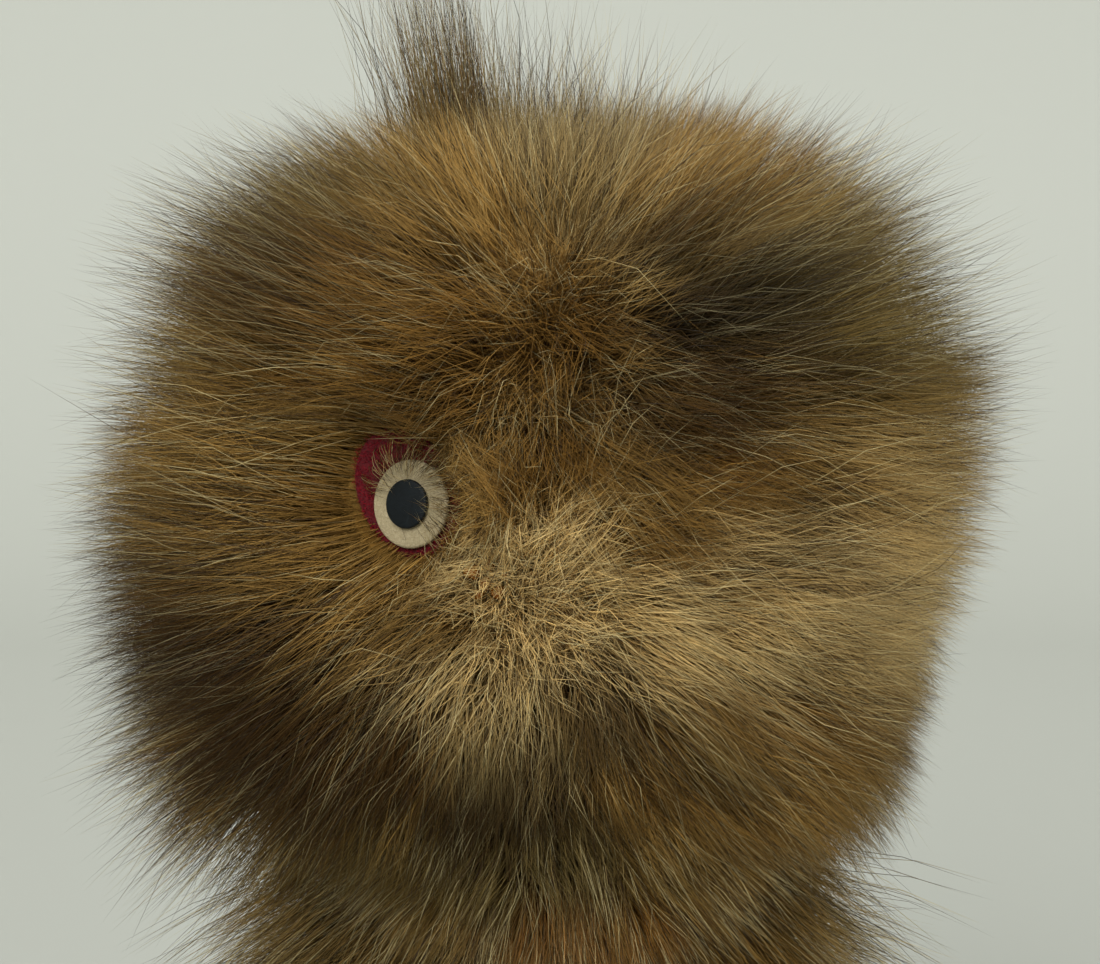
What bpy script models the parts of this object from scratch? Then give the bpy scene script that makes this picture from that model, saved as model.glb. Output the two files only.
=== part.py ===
"""A moving mouth hand puppet: a furry head with a hinged jaw on a fur sleeve that the forearm fills.

Metres, +Z up. The puppet faces -Y and stands on the hem of its sleeve, with the origin under the middle.
The head turns, tilts and nods about one point in the soft neck, and the jaw hinges along the mouth's back.
"""

import math

import bmesh
import bpy
from mathutils import Euler, Matrix, Vector

# Fur outline of the head, and the foam core under it
FUR_SEMI = Vector((0.084, 0.080, 0.078))
FUR_HEIGHT = 0.196  # middle of the fur outline above the hem
FUR_SQUARENESS = 2.8  # 2 is an ellipsoid, more is squarer
CORE_SEMI = Vector((0.050, 0.066, 0.062))
CORE_HEIGHT = 0.188
CORE_SQUARENESS = 2.4
PELT_SEAM_Y = 0.010  # seam over the head between the face and the back

# Mouth
MOUTH_HEIGHT = 0.153
MOUTH_SEMI = Vector((0.036, 0.056))  # half width, and reach in front of the middle
HINGE_Y = -0.004
HINGE_ROLL_RADIUS = 0.0013
BOARD_THICKNESS = 0.0020
PALATE_THICKNESS = 0.0010
PALATE_INSET = 0.0010  # felt edge inside the board's edge
LIP_GAP = 0.0018  # between the two palate felts
TONGUE_SEMI = Vector((0.012, 0.018))
TONGUE_THICKNESS = 0.0010

# Room for the hand
HAND_SEMI = Vector((0.037, 0.052))
HAND_MIDDLE_Y = -0.002
HAND_ROOM = 0.024  # above the upper board
CLOTH = 0.0010
FINGER_CLEARANCE = 0.0010  # between the finger pocket and the head's lining
FINGER_ROOM = 0.0165
FINGER_BACK_Y = -0.010
THUMB_WIDTH = 0.024
THUMB_ROOM = 0.0135
THUMB_FRONT_Y = -0.042

# Jaw
CHIN_MIDDLE_Y = -0.030
CHIN_FOAM_SEMI = Vector((0.030, 0.024, 0.020))
CHIN_FUR_SEMI = Vector((0.046, 0.040, 0.027))
CHIN_BACK_Y = -0.008
JAW_OPENING = math.radians(28)

# Eyes
EYE_HALF_SPACING = 0.0245
EYE_HEIGHT = 0.205
EYE_OUTWARD = math.radians(31)
EYE_UPWARD = math.radians(6)
EYE_SEAT_DEPTH = 0.0012
EYE_POCKET_CLEARANCE = 0.0020  # of fur round the felt
EYE_FELT_SLIDE = 0.0025  # of the felt from the middle of the eye, along its long way
EYE_FELT_SLANT = math.radians(45)  # of its long way, upwards and away from the nose
EYE_DISCS = (  # name, radius the long way and across, thickness, from the head outwards
    ("eye_felt", (0.0135, 0.0098), 0.0010),
    ("eye_white", (0.0080, 0.0080), 0.0012),
    ("eye_pupil", (0.0045, 0.0045), 0.0008),
)

# Neck
NECK_Y = 0.022
NECK_HEIGHT = 0.104  # the point that the head turns, tilts and nods about
ELASTIC_RADIUS = 0.0350
RING_WIDTH = 0.0020
RING_HEIGHT = 0.0050
RING_CLEARANCE = 0.0010  # between the elastic and the binding inside it
NECK_SWING = 0.0030  # free space round the rings, inside every piece that swings past
NECK_PELT_CLEARANCE = 0.0012  # outside the elastic
NECK_PELT_THICKNESS = 0.0030
NAPE_HEIGHT = 0.128  # lowest edge of the head's fur

# Sleeve
SLEEVE_TOP = 0.080
SLEEVE_RADIUS = 0.058
SLEEVE_PILE = 0.016
SHOULDER_ROUND = 0.008
LINING_THICKNESS = 0.0010
LINING_DROP = 0.002  # lining's top edge below the pelt's
LINING_RAISE = 0.001  # lining and binding above the hem, so that only the pelt stands on the table
HEM_WIDTH = 0.0015
HEM_HEIGHT = 0.012

# Crown tuft
TUFT_X = -0.006
TUFT_BASE_SEMI = Vector((0.022, 0.014))
TUFT_TIP_SHARE = 0.40
TUFT_TOP = 0.300

GAP = 0.0004  # between neighbouring pieces
FAR = 0.400  # reach of a cutter that ends in open air

COLOURS = {  # base colour, roughness
    "fur": ((0.30, 0.21, 0.11), 0.85),
    "dark_fur": ((0.10, 0.075, 0.045), 0.85),
    "foam": ((0.72, 0.62, 0.38), 0.95),
    "lining": ((0.42, 0.36, 0.27), 0.90),
    "tape": ((0.30, 0.25, 0.18), 0.85),
    "red_felt": ((0.30, 0.012, 0.020), 0.95),
    "board": ((0.24, 0.17, 0.10), 0.80),
    "eye_cream": ((0.56, 0.46, 0.30), 0.60),
    "eye_black": ((0.010, 0.013, 0.016), 0.40),
}

neckPoint = Vector((0.0, NECK_Y, NECK_HEIGHT))
hingePoint = Vector((0.0, HINGE_Y, MOUTH_HEIGHT))
furMiddle = Vector((0.0, 0.0, FUR_HEIGHT))
coreMiddle = Vector((0.0, 0.0, CORE_HEIGHT))

# Heights of the mouth's layers, from the plane where the felts meet
upperFelt = MOUTH_HEIGHT + LIP_GAP / 2
upperBoard = upperFelt + PALATE_THICKNESS + GAP
roof = upperBoard + BOARD_THICKNESS + GAP
lowerFelt = MOUTH_HEIGHT - LIP_GAP / 2 - PALATE_THICKNESS
lowerBoard = lowerFelt - GAP - BOARD_THICKNESS
chinTop = lowerBoard - GAP

handLining = Vector(side - GAP for side in HAND_SEMI)
fingerSemi = Vector(side - CLOTH - FINGER_CLEARANCE for side in handLining)
bindingRadius = ELASTIC_RADIUS - RING_WIDTH - RING_CLEARANCE
neckPeltInner = ELASTIC_RADIUS + NECK_PELT_CLEARANCE
neckPeltOuter = neckPeltInner + NECK_PELT_THICKNESS
eyePocket = [radius + EYE_POCKET_CLEARANCE for radius in EYE_DISCS[0][1]]

frames = {}
materials = {}


def start():
    for old in list(bpy.data.objects):
        bpy.data.objects.remove(old, do_unlink=True)
    for name in ("mouth_puppet", "cutters"):
        bpy.context.scene.collection.children.link(bpy.data.collections.new(name))
    for name, (colour, roughness) in COLOURS.items():
        made = bpy.data.materials.new(name)
        made.use_nodes = True
        shader = made.node_tree.nodes["Principled BSDF"]
        shader.inputs["Base Color"].default_value = (*colour, 1.0)
        shader.inputs["Roughness"].default_value = roughness
        materials[name] = made
    places = {"sleeve_frame": Vector((0, NECK_Y, 0)), "neck_frame": neckPoint, "jaw_frame": hingePoint}
    for name, place in places.items():
        frame = bpy.data.objects.new(name, None)
        frame.location = place
        bpy.data.collections["mouth_puppet"].objects.link(frame)
        frames[name] = frame


def finish(name, mesh, place, frame=None, colour=None, turn=(0, 0, 0)):
    """A part when it has a frame, and otherwise a hidden cutter."""
    obj = bpy.data.objects.new(name, mesh)
    obj.rotation_euler = turn
    if frame:
        obj.parent = frames[frame]
        obj.location = Vector(place) - frames[frame].location
        mesh.materials.append(materials[colour])
        bpy.data.collections["mouth_puppet"].objects.link(obj)
    else:
        obj.location = place
        obj.hide_render = True
        obj.display_type = "WIRE"
        bpy.data.collections["cutters"].objects.link(obj)
    return obj


def mesh_of(name, make, smooth_angle=None):
    mesh = bpy.data.meshes.new(name)
    cage = bmesh.new()
    make(cage)
    cage.to_mesh(mesh)
    cage.free()
    if smooth_angle:
        mesh.shade_smooth()
        mesh.set_sharp_from_angle(angle=smooth_angle)
    return mesh


def block(name, low, high, **rest):
    """A box between two corners."""
    low, high = Vector(low), Vector(high)

    def make(cage):
        bmesh.ops.create_cube(cage, size=1.0)
        bmesh.ops.scale(cage, vec=high - low, verts=cage.verts)

    return finish(name, mesh_of(name, make), (low + high) / 2, **rest)


def drum(name, semi, low, height, x=0.0, y=0.0, tip_share=1.0, segments=48, **rest):
    """An upright elliptical cylinder or cone that stands at height low."""

    def make(cage):
        bmesh.ops.create_cone(
            cage, cap_ends=True, segments=segments, radius1=1.0, radius2=tip_share, depth=height
        )
        bmesh.ops.scale(cage, vec=(semi[0], semi[1], 1.0), verts=cage.verts)

    mesh = mesh_of(name, make, math.radians(40))
    return finish(name, mesh, (x, y, low + height / 2), **rest)


def ball(name, semi, middle, squareness=2.0, segments=40, rings=20, **rest):
    """A ball whose every point obeys |x/a|^p + |y/b|^p + |z/c|^p = 1, with p the squareness."""

    def make(cage):
        bmesh.ops.create_uvsphere(cage, u_segments=segments, v_segments=rings, radius=1.0)
        for point in cage.verts:
            size = sum(abs(side) ** squareness for side in point.co) ** (1 / squareness)
            point.co = Vector(side / size * half for side, half in zip(point.co, semi))

    return finish(name, mesh_of(name, make, math.radians(60)), middle, **rest)


def turned(name, profile, middle_y, frame, colour, steps=48):
    """A ring whose closed profile of (radius, height) runs down its outer side first."""
    mesh = bpy.data.meshes.new(name)
    points = [(radius, 0.0, height) for radius, height in profile]
    mesh.from_pydata(points, [(i, (i + 1) % len(points)) for i in range(len(points))], [])
    obj = finish(name, mesh, (0, middle_y, 0), frame=frame, colour=colour)
    turn = obj.modifiers.new("turn", "SCREW")
    turn.steps = turn.render_steps = steps
    turn.use_merge_vertices = False
    return obj


def ring(name, outer, width, low, height, frame, colour):
    top = low + height
    profile = [(outer, top), (outer, low), (outer - width, low), (outer - width, top)]
    return turned(name, profile, NECK_Y, frame, colour)


def cut(obj, *cutters, keep=False):
    for cutter in cutters:
        step = obj.modifiers.new("keep " * keep + cutter.name, "BOOLEAN")
        step.operation = "INTERSECT" if keep else "DIFFERENCE"
        step.object = cutter
    return obj


def grown(semi, by=GAP):
    return Vector(side + by for side in semi)


def sleeve():
    inner = SLEEVE_RADIUS - SLEEVE_PILE
    shoulder = [  # a quarter round from the top edge to the outer side
        (
            SLEEVE_RADIUS - SHOULDER_ROUND * (1 - math.sin(math.radians(angle))),
            SLEEVE_TOP - SHOULDER_ROUND * (1 - math.cos(math.radians(angle))),
        )
        for angle in range(0, 91, 18)
    ]
    profile = shoulder + [(SLEEVE_RADIUS, 0.0), (inner, 0.0), (inner, SLEEVE_TOP)]
    turned("sleeve_pelt", profile, NECK_Y, "sleeve_frame", "fur", steps=56)
    lining_outer = inner - GAP
    lining_height = SLEEVE_TOP - LINING_DROP - LINING_RAISE
    ring(
        "sleeve_lining", lining_outer, LINING_THICKNESS, LINING_RAISE, lining_height, "sleeve_frame", "lining"
    )
    hem_outer = lining_outer - LINING_THICKNESS - GAP
    ring("hem_binding", hem_outer, HEM_WIDTH, LINING_RAISE, HEM_HEIGHT, "sleeve_frame", "tape")


def neck():
    low = NECK_HEIGHT - RING_HEIGHT / 2
    ring("neck_elastic", ELASTIC_RADIUS, RING_WIDTH, low, RING_HEIGHT, "neck_frame", "tape")
    ring("neck_binding", bindingRadius, RING_WIDTH, low, RING_HEIGHT, "neck_frame", "lining")
    bottom = SLEEVE_TOP + GAP
    ring(
        "neck_pelt",
        neckPeltOuter,
        NECK_PELT_THICKNESS,
        bottom,
        NAPE_HEIGHT - GAP - bottom,
        "sleeve_frame",
        "fur",
    )


def core_front(x, height):
    """Y of the foam core's front at this place."""
    share = (x / CORE_SEMI.x) ** CORE_SQUARENESS
    share += (abs(height - CORE_HEIGHT) / CORE_SEMI.z) ** CORE_SQUARENESS
    return -CORE_SEMI.y * (1 - share) ** (1 / CORE_SQUARENESS)


def eyes():
    """The discs of both eyes, and the pockets that they sit in, which are returned as cutters."""
    pockets = []
    for side, word in ((-1, "right"), (1, "left")):  # the puppet's own right and left
        axis = Euler((math.pi / 2 - EYE_UPWARD, 0, side * EYE_OUTWARD)).to_matrix() @ Vector((0, 0, 1))
        turn = axis.to_track_quat("Z", "Y").to_euler()
        surface = Vector((side * EYE_HALF_SPACING, core_front(EYE_HALF_SPACING, EYE_HEIGHT), EYE_HEIGHT))
        seat = surface - axis * EYE_SEAT_DEPTH

        def disc(name, radii, depth, from_seat, slide=0.0, **rest):
            slant = math.atan2(math.sin(EYE_FELT_SLANT), side * math.cos(EYE_FELT_SLANT))

            def make(cage):
                bmesh.ops.create_cone(cage, cap_ends=True, segments=32, radius1=1, radius2=1, depth=depth)
                bmesh.ops.scale(cage, vec=(*radii, 1), verts=cage.verts)
                bmesh.ops.translate(cage, vec=(slide, 0, 0), verts=cage.verts)
                bmesh.ops.rotate(cage, matrix=Matrix.Rotation(slant, 3, "Z"), verts=cage.verts)

            mesh = mesh_of(name, make, math.radians(40))
            return finish(name, mesh, seat + axis * (from_seat + depth / 2), turn=turn, **rest)

        pockets.append(disc(f"eye_pocket_{word}", eyePocket, FAR, 0.0, EYE_FELT_SLIDE))
        height = GAP
        for (name, radii, depth), colour in zip(EYE_DISCS, ("red_felt", "eye_cream", "eye_black")):
            slide = EYE_FELT_SLIDE if colour == "red_felt" else 0.0
            disc(f"{name}_{word}", radii, depth, height, slide, frame="neck_frame", colour=colour)
            height += depth + GAP
    return pockets


def head(pockets):
    below_roof = block("below_roof", (-FAR, -FAR, -FAR), (FAR, FAR, roof))
    hand = drum("hand_room", HAND_SEMI, 0.0, roof + HAND_ROOM, y=HAND_MIDDLE_Y)
    core = {"semi": CORE_SEMI, "middle": coreMiddle, "squareness": CORE_SQUARENESS}
    skull = ball("skull_foam", **core, frame="neck_frame", colour="foam")
    cut(skull, below_roof, hand, *pockets)

    core["semi"] = grown(CORE_SEMI)
    core_room = ball("core_room", **core)
    swing = ball("neck_room", [ELASTIC_RADIUS + NECK_SWING] * 3, neckPoint)
    tube = drum("neck_tube_room", (neckPeltOuter + GAP, neckPeltOuter + GAP), 0.0, NAPE_HEIGHT, y=NECK_Y)
    fur = {"semi": FUR_SEMI, "middle": furMiddle, "squareness": FUR_SQUARENESS, "frame": "neck_frame"}
    face = ball("face_pelt", **fur, colour="fur", segments=48, rings=24)
    back = ball("back_pelt", **fur, colour="dark_fur", segments=48, rings=24)
    behind = block("behind_seam", (-FAR, PELT_SEAM_Y - GAP / 2, -FAR), (FAR, FAR, FAR))
    before = block("before_seam", (-FAR, -FAR, -FAR), (FAR, PELT_SEAM_Y + GAP / 2, FAR))
    below_lip = block("below_lip", (-FAR, -FAR, -FAR), (FAR, FAR, MOUTH_HEIGHT + GAP / 2))
    below_nape = block("below_nape", (-FAR, -FAR, -FAR), (FAR, FAR, NAPE_HEIGHT))
    cut(face, behind, below_lip, core_room, *pockets)
    cut(back, below_nape, core_room, swing, before)

    tuft_low = FUR_HEIGHT
    tuft = drum(
        "crown_tuft",
        TUFT_BASE_SEMI,
        tuft_low,
        TUFT_TOP - tuft_low,
        x=TUFT_X,
        tip_share=TUFT_TIP_SHARE,
        frame="neck_frame",
        colour="dark_fur",
    )
    outline = ball("outline_room", grown(FUR_SEMI), furMiddle, FUR_SQUARENESS, segments=48, rings=24)
    cut(tuft, outline)

    lining = drum(
        "head_lining", handLining, roof, HAND_ROOM - GAP, y=HAND_MIDDLE_Y, frame="neck_frame", colour="lining"
    )
    inside = grown(handLining, -CLOTH)
    cut(lining, drum("lining_room", inside, 0.0, roof + HAND_ROOM - GAP - CLOTH, y=HAND_MIDDLE_Y))
    return swing, tube


def mouth():
    """The two boards with their felts, the roll they hinge on, the pockets of cloth and the tongue."""
    roll = HINGE_ROLL_RADIUS
    behind = block("behind_hinge", (-FAR, HINGE_Y - roll - GAP, -FAR), (FAR, FAR, FAR))
    felt = grown(MOUTH_SEMI, -PALATE_INSET)
    layers = (
        ("upper_mouth_board", MOUTH_SEMI, upperBoard, BOARD_THICKNESS, "neck_frame", "board"),
        ("upper_palate_felt", felt, upperFelt, PALATE_THICKNESS, "neck_frame", "red_felt"),
        ("lower_palate_felt", felt, lowerFelt, PALATE_THICKNESS, "jaw_frame", "red_felt"),
        ("lower_mouth_board", MOUTH_SEMI, lowerBoard, BOARD_THICKNESS, "jaw_frame", "board"),
    )
    for name, semi, low, depth, frame, colour in layers:
        cut(drum(name, semi, low, depth, frame=frame, colour=colour), behind)

    def make(cage):
        bmesh.ops.create_cone(cage, cap_ends=True, segments=24, radius1=roll, radius2=roll, depth=2 * felt.x)

    mesh = mesh_of("mouth_hinge_roll", make, math.radians(40))
    finish("mouth_hinge_roll", mesh, hingePoint, "neck_frame", "red_felt", turn=(0, math.pi / 2, 0))

    tongue_low = lowerFelt + PALATE_THICKNESS + GAP
    tongue_y = -MOUTH_SEMI.y + PALATE_INSET + TONGUE_SEMI.y
    drum(
        "tongue", TONGUE_SEMI, tongue_low, TONGUE_THICKNESS, y=tongue_y, frame="jaw_frame", colour="red_felt"
    )

    fingers = drum(
        "finger_pocket", fingerSemi, roof, FINGER_ROOM, y=HAND_MIDDLE_Y, frame="neck_frame", colour="lining"
    )
    room_semi = grown(fingerSemi, -CLOTH)
    room = drum("finger_room", room_semi, roof + CLOTH, FINGER_ROOM - 2 * CLOTH, y=HAND_MIDDLE_Y)
    open_back = block("finger_back", (-FAR, FINGER_BACK_Y, -FAR), (FAR, FAR, FAR))
    cut(fingers, room, open_back)


def jaw(swing, tube):
    half = THUMB_WIDTH / 2
    thumb_low = chinTop - GAP - THUMB_ROOM
    thumb = block(
        "thumb_pocket",
        (-half, THUMB_FRONT_Y, thumb_low),
        (half, CHIN_BACK_Y, chinTop - GAP),
        frame="jaw_frame",
        colour="lining",
    )
    inner = half - CLOTH
    room = block(
        "thumb_room", (-inner, THUMB_FRONT_Y + CLOTH, thumb_low + CLOTH), (inner, FAR, chinTop - GAP - CLOTH)
    )
    cut(thumb, room)

    # The neck's rings as the jaw meets them when it is wide open: the neck point turned back about the hinge
    away = neckPoint - hingePoint
    turned_back = Euler((-JAW_OPENING, 0, 0)).to_matrix() @ away
    radius = ELASTIC_RADIUS + NECK_SWING

    def make(cage):
        bmesh.ops.create_cone(cage, cap_ends=True, segments=48, radius1=radius, radius2=radius, depth=FAR)

    room_mesh = mesh_of("open_jaw_room", make)
    open_swing = finish("open_jaw_room", room_mesh, hingePoint + turned_back, turn=(0, math.pi / 2, 0))
    behind = block("behind_chin", (-FAR, CHIN_BACK_Y, -FAR), (FAR, FAR, FAR))
    thumb_way = block(
        "thumb_way", (-half - GAP, THUMB_FRONT_Y - GAP, thumb_low - GAP), (half + GAP, FAR, chinTop + GAP)
    )
    middle = Vector((0, CHIN_MIDDLE_Y, chinTop))
    above_foam = block("above_chin_foam", (-FAR, -FAR, chinTop), (FAR, FAR, FAR))
    foam = ball("chin_foam", CHIN_FOAM_SEMI, middle, segments=32, rings=16, frame="jaw_frame", colour="foam")
    cut(foam, above_foam, behind, thumb_way, open_swing)

    above_chin = block("above_chin", (-FAR, -FAR, MOUTH_HEIGHT - GAP), (FAR, FAR, FAR))
    foam_room = ball("chin_foam_room", grown(CHIN_FOAM_SEMI), middle, segments=32, rings=16)
    board_room = drum("board_room", grown(MOUTH_SEMI), chinTop - GAP, FAR)
    chin = ball("chin_pelt", CHIN_FUR_SEMI, middle, FUR_SQUARENESS, frame="jaw_frame", colour="fur")
    cut(chin, above_chin, behind, foam_room, board_room, thumb_way, swing, tube, open_swing)


def main():
    start()
    sleeve()
    neck()
    swing, tube = head(eyes())
    mouth()
    jaw(swing, tube)


main()
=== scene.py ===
import math

import bmesh
import bpy
import numpy as np
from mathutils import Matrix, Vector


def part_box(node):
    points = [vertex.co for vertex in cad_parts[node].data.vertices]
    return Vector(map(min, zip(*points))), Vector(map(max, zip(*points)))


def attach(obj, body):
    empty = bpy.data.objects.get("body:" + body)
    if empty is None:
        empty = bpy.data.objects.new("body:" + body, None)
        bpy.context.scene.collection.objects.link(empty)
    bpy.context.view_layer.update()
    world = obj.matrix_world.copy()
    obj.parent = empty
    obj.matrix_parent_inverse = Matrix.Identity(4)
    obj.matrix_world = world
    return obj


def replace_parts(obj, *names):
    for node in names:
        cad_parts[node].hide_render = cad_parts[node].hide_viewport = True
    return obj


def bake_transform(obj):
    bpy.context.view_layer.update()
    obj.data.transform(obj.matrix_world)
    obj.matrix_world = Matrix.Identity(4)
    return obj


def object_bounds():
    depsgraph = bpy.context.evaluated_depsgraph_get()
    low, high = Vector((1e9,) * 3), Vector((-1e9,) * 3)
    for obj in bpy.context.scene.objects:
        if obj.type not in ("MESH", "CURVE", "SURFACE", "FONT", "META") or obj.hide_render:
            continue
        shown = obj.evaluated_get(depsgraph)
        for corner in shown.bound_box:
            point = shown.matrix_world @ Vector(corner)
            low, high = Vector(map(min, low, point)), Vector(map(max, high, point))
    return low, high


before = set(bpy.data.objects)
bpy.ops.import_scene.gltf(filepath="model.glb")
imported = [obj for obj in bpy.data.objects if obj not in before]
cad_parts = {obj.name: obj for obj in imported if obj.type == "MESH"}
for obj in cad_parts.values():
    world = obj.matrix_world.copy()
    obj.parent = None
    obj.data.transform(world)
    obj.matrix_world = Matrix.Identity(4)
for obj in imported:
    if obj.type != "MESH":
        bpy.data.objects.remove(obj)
cadBounds = [list(corner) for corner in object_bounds()]
draw = np.random.default_rng(41)  # every random draw below comes from here
collection = bpy.context.scene.collection
mm = 0.001
up = np.array([0.0, 0.0, 1.0])


def corners(node):
    """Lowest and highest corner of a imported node."""
    low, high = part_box(node)
    return np.array(low), np.array(high)


foamLow, foamHigh = corners("skull_foam")
faceLow, faceHigh = corners("face_pelt")
napeLow = corners("back_pelt")[0]
chinLow, chinHigh = corners("chin_foam")
sleeveLow, sleeveHigh = corners("sleeve_pelt")
liningLow, liningHigh = corners("sleeve_lining")
hemLow, hemHigh = corners("hem_binding")
neckLow, neckHigh = corners("neck_pelt")
elasticLow, elasticHigh = corners("neck_elastic")
bindingLow, bindingHigh = corners("neck_binding")
boardLow, boardHigh = corners("upper_mouth_board")
lowerBoardHigh = corners("lower_mouth_board")[1]
rollLow, rollHigh = corners("mouth_hinge_roll")
neckMiddle = (neckLow + neckHigh) / 2
neckJoints = [neckLow[2] + part * (neckHigh[2] - neckLow[2]) for part in (0.33, 0.67)]

# The fur and the felt stay inside this room round the imported model
cadSides = np.array(cadBounds[1]) - cadBounds[0]
roomLow = np.array(cadBounds[0]) - 0.03 * cadSides - 9.4 * mm
roomHigh = np.array(cadBounds[1]) + 0.03 * cadSides + 9.4 * mm
roomLow[2] = cadBounds[0][2] + 0.5 * mm


def linear(red, green, blue):
    """A display colour from 0 to 255 as linear light."""
    share = np.array([red, green, blue]) / 255
    return np.where(share <= 0.04045, share / 12.92, ((share + 0.055) / 1.055) ** 2.4)


def unit(vectors):
    return vectors / np.maximum(np.linalg.norm(vectors, axis=-1, keepdims=True), 1e-9)


def smooth(value, low, high):
    """0 below low, 1 above high, and 3t^2 - 2t^3 between them."""
    t = np.clip((value - low) / (high - low), 0, 1)
    return t * t * (3 - 2 * t)


def power(value, exponent):
    """The exponent on the size of a value, with its sign kept."""
    return np.sign(value) * np.abs(value) ** exponent


def drift(points, size, seed, waves=9):
    """Smooth noise near -1 to 1: a sum of cosines in random directions, about size apart."""
    source = np.random.default_rng(seed)
    steps = unit(source.normal(size=(waves, 3))) * (2 * math.pi / size) * source.uniform(0.6, 1.5, (waves, 1))
    return np.cos(points @ steps.T + source.uniform(0, 2 * math.pi, waves)).sum(axis=-1) / math.sqrt(waves)


# Camera

cameraSet = {"width": 0.1985, "distance": 0.44, "middle": (-0.0002, -0.058, 0.2089), "downward": 5.0}


def makeCamera():
    """Looks along +Y and a little down, with the lens that makes the frame as wide as width at the middle."""
    tilt = math.radians(cameraSet["downward"])
    data = bpy.data.cameras.new("camera")
    data.lens = data.sensor_width * cameraSet["distance"] / cameraSet["width"]
    data.clip_start = 0.01
    camera = bpy.data.objects.new("camera", data)
    back = np.array([0, -math.cos(tilt), math.sin(tilt)])
    camera.location = np.array(cameraSet["middle"]) + cameraSet["distance"] * back
    camera.rotation_euler = (math.pi / 2 - tilt, 0, 0)
    collection.objects.link(camera)
    bpy.context.scene.camera = camera


makeCamera()
print("camera placed")

# Materials


def nodeIn(tree, kind, place=(0, 0), **values):
    """A node at that place, with each value put on the socket or the setting of that name."""
    node = tree.nodes.new(kind)
    node.location = place
    for name, value in values.items():
        if name in node.inputs:
            node.inputs[name].default_value = value
        else:
            setattr(node, name, value)
    return node


def newGroup(name, inputs, outputs):
    group = bpy.data.node_groups.new(name, "ShaderNodeTree")
    for title, value in inputs:
        socket = group.interface.new_socket(name=title, in_out="INPUT", socket_type="NodeSocketFloat")
        socket.default_value = value
    for title, kind in outputs:
        group.interface.new_socket(name=title, in_out="OUTPUT", socket_type="NodeSocket" + kind)
    return group, nodeIn(group, "NodeGroupInput", (-1100, 0)), nodeIn(group, "NodeGroupOutput", (800, 0))


def makeFibreGroup():
    """Matted fibres: noise drawn out in two directions, as a 0 to 1 mask and a bump of that depth."""
    group, take, give = newGroup(
        "mattedFibres", (("Scale", 900.0), ("Depth", 0.0004)), (("Mask", "Float"), ("Normal", "Vector"))
    )
    place = nodeIn(group, "ShaderNodeTexCoord", (-1100, 300))
    both = nodeIn(group, "ShaderNodeMath", (-100, 0), operation="ADD")
    for number, stretch in enumerate(((1.0, 0.25, 0.6), (0.3, 1.0, 1.0))):
        level = 300 - 400 * number
        lay = nodeIn(group, "ShaderNodeMapping", (-750, level), Scale=stretch, Rotation=(0.4, 0.7, number))
        cloud = nodeIn(group, "ShaderNodeTexNoise", (-450, level), Detail=5.0, Roughness=0.65)
        cloud.inputs["Distortion"].default_value = 1.2
        group.links.new(place.outputs["Object"], lay.inputs["Vector"])
        group.links.new(lay.outputs["Vector"], cloud.inputs["Vector"])
        group.links.new(take.outputs["Scale"], cloud.inputs["Scale"])
        group.links.new(cloud.outputs["Fac"], both.inputs[number])
    spread = nodeIn(group, "ShaderNodeMapRange", (150, 0))
    spread.inputs["From Min"].default_value = 0.7
    spread.inputs["From Max"].default_value = 1.3
    bump = nodeIn(group, "ShaderNodeBump", (450, -200))
    group.links.new(both.outputs[0], spread.inputs["Value"])
    group.links.new(spread.outputs["Result"], bump.inputs["Height"])
    group.links.new(take.outputs["Depth"], bump.inputs["Distance"])
    group.links.new(spread.outputs["Result"], give.inputs["Mask"])
    group.links.new(bump.outputs["Normal"], give.inputs["Normal"])
    return group


def makeWeaveGroup():
    """Plain weave round the neck's upright line: sin of the way round times sin of the height, as mask and bump."""
    group, take, give = newGroup(
        "plainWeave", (("Threads", 2600.0), ("Depth", 0.0002)), (("Mask", "Float"), ("Normal", "Vector"))
    )
    place = nodeIn(group, "ShaderNodeTexCoord", (-1100, 300))
    centre = nodeIn(group, "ShaderNodeMapping", (-920, 300), Location=(0, -neckMiddle[1], 0))
    parts = nodeIn(group, "ShaderNodeSeparateXYZ", (-740, 300))
    angle = nodeIn(group, "ShaderNodeMath", (-560, 400), operation="ARCTAN2")
    around = nodeIn(group, "ShaderNodeMath", (-400, 400), operation="MULTIPLY")
    around.inputs[1].default_value = float(liningHigh[0])
    group.links.new(place.outputs["Object"], centre.inputs["Vector"])
    group.links.new(centre.outputs["Vector"], parts.inputs["Vector"])
    group.links.new(parts.outputs["Y"], angle.inputs[0])
    group.links.new(parts.outputs["X"], angle.inputs[1])
    group.links.new(angle.outputs[0], around.inputs[0])
    cross = nodeIn(group, "ShaderNodeMath", (240, 250), operation="MULTIPLY")
    for number, source in enumerate((around.outputs[0], parts.outputs["Z"])):
        count = nodeIn(group, "ShaderNodeMath", (-160, 400 - 300 * number), operation="MULTIPLY")
        wave = nodeIn(group, "ShaderNodeMath", (40, 400 - 300 * number), operation="SINE")
        group.links.new(source, count.inputs[0])
        group.links.new(take.outputs["Threads"], count.inputs[1])
        group.links.new(count.outputs[0], wave.inputs[0])
        group.links.new(wave.outputs[0], cross.inputs[number])
    mask = nodeIn(group, "ShaderNodeMapRange", (400, 250))
    mask.inputs["From Min"].default_value = -1.0
    bump = nodeIn(group, "ShaderNodeBump", (600, 0))
    group.links.new(cross.outputs[0], mask.inputs["Value"])
    group.links.new(mask.outputs["Result"], bump.inputs["Height"])
    group.links.new(take.outputs["Depth"], bump.inputs["Distance"])
    group.links.new(mask.outputs["Result"], give.inputs["Mask"])
    group.links.new(bump.outputs["Normal"], give.inputs["Normal"])
    return group


fibreGroup = makeFibreGroup()
weaveGroup = makeWeaveGroup()


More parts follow.
